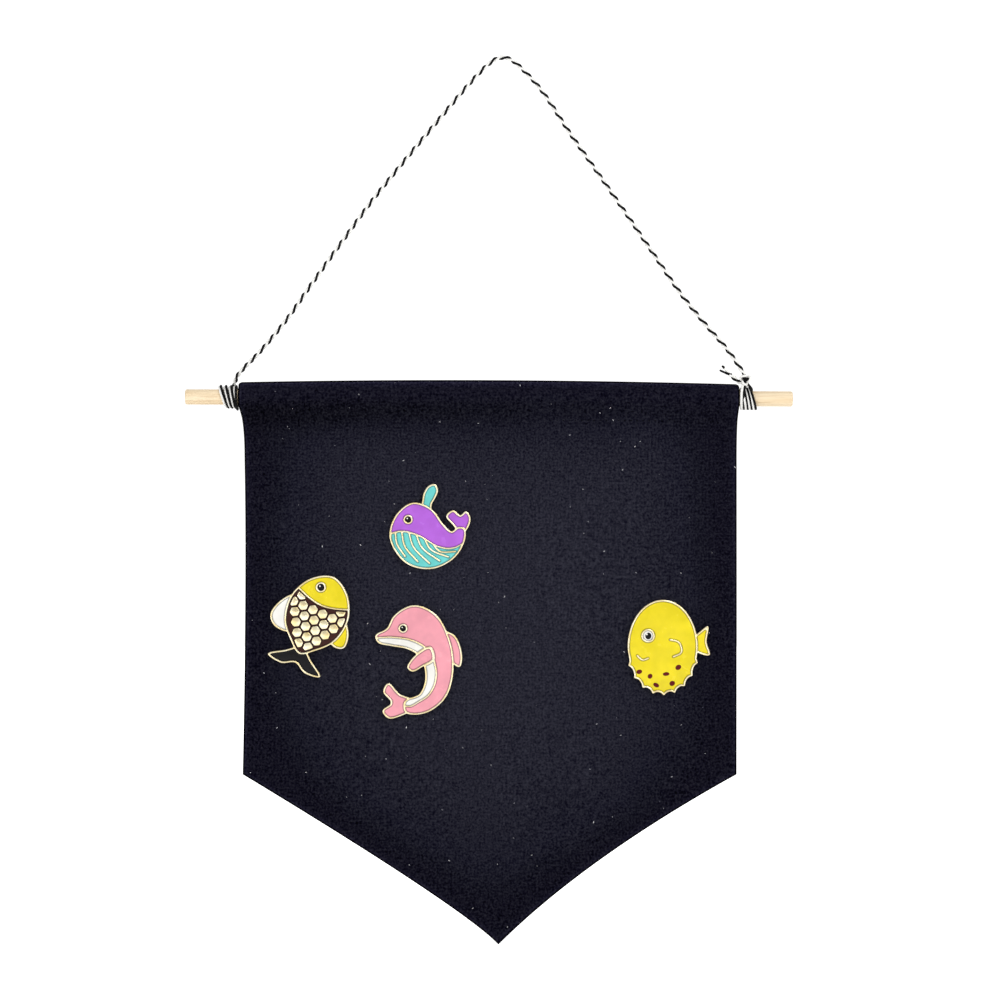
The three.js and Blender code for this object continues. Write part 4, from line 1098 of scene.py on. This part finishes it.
def pourEnamel(name, field, spots, front, material):
    loops = borderLoops(field, spots)
    rings = [moveLeft(loop, d) for loop in loops for d in badge["shores"]]
    low, high = np.vstack(loops).min(0), np.vstack(loops).max(0)
    across, up = [np.arange(low[k], high[k], badge["gridStep"]) for k in (0, 1)]
    grid = np.stack(np.meshgrid(across, up), -1).reshape(-1, 2)
    grid = grid[insideOf(grid, loops)]
    if len(grid):
        grid = grid[farFrom(grid, loops) > badge["gridRoom"]]
    rings = [ring[insideOf(ring, loops)] for ring in rings if len(ring) > 3]
    points, faces, centres = triangulate(loops, np.vstack([*rings, grid]))
    faces = faces[insideOf(centres, loops)]
    far = farFrom(points, loops)
    (rise, riseReach), (swell, swellReach) = badge["meniscus"], badge["swell"]
    level = front - badge["sink"] + rise * np.exp(-far / riseReach) + swell * (1 - np.exp(-far / swellReach))
    count = len(points)
    base = np.full(count, front - badge["wellDepth"] + badge["floorGap"])
    edges = edgeSet(faces)
    walls = [(b, a, a + count, b + count) for a, b in sorted(edges) if (b, a) not in edges]
    made = faces.tolist() + (faces[:, ::-1] + count).tolist() + walls
    mesh = meshOf(name, np.vstack([atLevel(points, level), atLevel(points, base)]) * mm, made, [material])
    # how far each point lies from the metal, which the material uses for painted shade along the walls
    mark(mesh, "shore", np.tile(np.clip(far, 0, 1), 2))
    return mesh


def makeBadge(name):
    loops, front = frontLoops(name + "_plate")
    back = -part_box(name + "_plate")[1].y / mm
    loops = [roundLoop(loop) for loop in loops]
    outer = [loop for loop in loops
             if not any(insideOf(loop[:1], [other])[0] for other in loops if other is not loop)]
    mesh, spots, faces, wells = strikePlate(name + "Plate", loops, outer, front, back)
    settle(name + "Plate", mesh, name + "_badge", [name + "_plate"], 35)
    fields = wellFields(faces, wells)
    for part, colour in badge["fields"][name].items():
        node = f"{name}_{part}_enamel"
        nodeLoops, _ = frontLoops(node)
        field = max(fields, key=lambda field: insideOf(spots[field].mean(1), nodeLoops).mean())
        label = name + part.title().replace("_", "") + "Enamel"
        mesh = pourEnamel(label, field, spots, front, enamels[colour])
        settle(label, mesh, name + "_badge", [node], 50)
    print(name, "badge struck:", len(loops), "outlines,", len(fields), "fields")


for badgeName in badge["fields"]:
    makeBadge(badgeName)


# Eyes and painted spots

eyes = {
    "glints": {"whale": (0.3, 0.35, 0.24), "dolphin": (0.3, 0.35, 0.24), "fish": (0.35, 0.4, 0.28),
               "puffer": (0.45, 0.5, 0.34)},
    "pupils": {"puffer": (0.1, -0.1, 1.15, 1.265, 0)}, "lift": 0.03, "pupilLift": 0.05,
    "dotSides": 20, "dotDome": ((1.0, -0.02), (0.9, 0.02), (0.6, 0.045)), "spotColour": (96, 10, 12),
    "spots": [(-8.5, -8.8, 1.05, 0.8, 0.3), (-4.6, -10.4, 0.95, 0.85, 0.9), (1.2, -9.6, 1.25, 0.7, 0.1),
              (5.6, -7.2, 1.15, 0.9, 0.6), (-2.4, -13.6, 1.15, 0.75, -0.5), (3.4, -13.0, 1.05, 0.9, 0.5)],
}


def middleOf(node):
    low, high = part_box(node)
    return (low.x + high.x) / 2 / mm, (low.z + high.z) / 2 / mm


def faceOf(name):  # the lowest level of a badge's enamel
    return -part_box(name + "_plate")[0].y / mm - badge["sink"]


def addDots(label, name, around, dots, front, material):  # domed spots: place, half sizes and turn
    sides, dome = eyes["dotSides"], eyes["dotDome"]
    points, faces = [], []
    for right, up, wide, tall, turn in dots:
        faces += ringFaces(len(dome), sides, len(points))
        for share, rise in dome:
            for a in 2 * math.pi * np.arange(sides) / sides:
                u, v = wide * share * math.cos(a), tall * share * math.sin(a)
                points.append((around[0] + right + u * math.cos(turn) - v * math.sin(turn), -(front + rise),
                               around[1] + up + u * math.sin(turn) + v * math.cos(turn)))
    mesh = meshOf(label, np.array(points) * mm, faces, [material])
    # the dots get none of the painted shade along the walls
    mark(mesh, "shore", np.ones(len(points)))
    settle(label, mesh, name + "_badge", (), 60)


def paintDetails():
    for name, (left, up, size) in eyes["glints"].items():
        eye = middleOf(name + "_eye_enamel")
        front = faceOf(name) + eyes["lift"]
        if name in eyes["pupils"]:
            pupil = [eyes["pupils"][name]]
            addDots(name + "Pupil", name, eye, pupil, front, enamels["black"])
            front += eyes["pupilLift"]
        glint = [(-left, up, size, size, 0)]
        addDots(name + "Glint", name, eye, glint, front, enamels["white"])
    brown = enamelFinish("spotBrown", eyes["spotColour"])
    addDots("pufferSpots", "puffer", middleOf("puffer_body_enamel"), eyes["spots"],
            faceOf("puffer") + badge["swell"][0], brown)


paintDetails()
print("eyes and spots painted")


# Posts and butterfly clutches behind the cloth

clutch = {
    "sides": 56, "postSides": 36, "post": 0.6, "postRound": 0.12, "boreRoom": 0.25, "capRound": 0.16,
    "bevel": 0.1, "flatTurn": 2, "sharpTurn": 50,
}


def lathe(name, profile, axis, sides, material, closed):  # profile: radius and world y, in millimetres
    turns = 2 * math.pi * np.arange(sides) / sides
    x, z = axis
    points = [(x + r * math.cos(a), y, z + r * math.sin(a)) for r, y in profile for a in turns]
    return meshOf(name, np.array(points) * mm, ringFaces(len(profile), sides, 0, closed), [material])


def softProfile(corners, radius, closed):  # a turned outline with its corners rounded
    corners = np.array(corners, float)
    out, count = [], len(corners)
    for i, spot in enumerate(corners):
        if not closed and i in (0, count - 1):
            out.append(spot)
            continue
        ways = [corners[i - 1] - spot, corners[(i + 1) % count] - spot]
        lengths = [np.linalg.norm(way) for way in ways]
        reach = min(radius, *[0.45 * length for length in lengths])
        a, b = [spot + way / length * reach for way, length in zip(ways, lengths)]
        out += [curve(a, spot, b, t) for t in (0, 0.25, 0.5, 0.75, 1)]
    return out


def bentWing(name, node):  # a copy of the wing with its edges eased
    shape = openNode(node)
    bmesh.ops.dissolve_limit(shape, angle_limit=math.radians(clutch["flatTurn"]), verts=shape.verts,
                             edges=shape.edges)
    least = math.radians(clutch["sharpTurn"])
    sharp = [e for e in shape.edges if len(e.link_faces) == 2 and e.calc_face_angle(0) > least]
    bmesh.ops.bevel(shape, geom=sharp, offset=clutch["bevel"] * mm, segments=3, profile=0.5, affect="EDGES",
                    clamp_overlap=True)
    mesh = bpy.data.meshes.new(name)
    shape.to_mesh(mesh)
    shape.free()
    mesh.materials.append(brass)
    return mesh


def fitClutch(name):
    low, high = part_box(name + "_post")
    axis = middleOf(name + "_post")
    head, tip, pad, post = low.y / mm, high.y / mm, (high.x - low.x) / 2 / mm, clutch["post"]
    profile = softProfile([
        (0.02, head), (pad, head), (pad, head + 0.22), (post + 0.25, head + 0.34), (post, head + 0.6),
        (post, tip - 2.0), (post - 0.12, tip - 1.85), (post - 0.12, tip - 1.6), (post, tip - 1.45),
        (post, tip - 1.2), (0.14, tip - 0.06), (0.02, tip),
    ], clutch["postRound"], False)
    mesh = lathe(name + "Post", profile, axis, clutch["postSides"], steel, False)
    settle(name + "Post", mesh, name + "_badge", [name + "_post"], 40)

    low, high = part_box(name + "_clutch_cap")
    rim, base, lip, bore = (high.x - low.x) / 2 / mm, low.y / mm, high.y / mm, post + clutch["boreRoom"]
    profile = softProfile([
        (bore, base), (bore + 0.5, base), (rim - 0.15, base), (rim, base + 0.2), (rim, lip - 0.1),
        (rim - 0.2, lip), (rim - 0.45, lip - 0.12), (rim - 0.5, base + 0.55), (rim - 1.4, base + 0.48),
        (2.4, base + 0.44), (bore + 0.85, base + 0.5), (bore + 0.7, base + 0.8), (bore, base + 0.8),
    ], clutch["capRound"], True)
    mesh = lathe(name + "ClutchCap", profile, axis, clutch["sides"], brass, True)
    settle(name + "ClutchCap", mesh, name + "_clutch", [name + "_clutch_cap"], 40)
    for hand in ("left", "right"):
        node = f"{name}_clutch_wing_{hand}"
        label = name + "Wing" + hand.title()
        settle(label, bentWing(label, node), f"{name}_wing_{hand}", [node], 30)


for badgeName in badge["fields"]:
    fitClutch(badgeName)
print("clutches fitted")
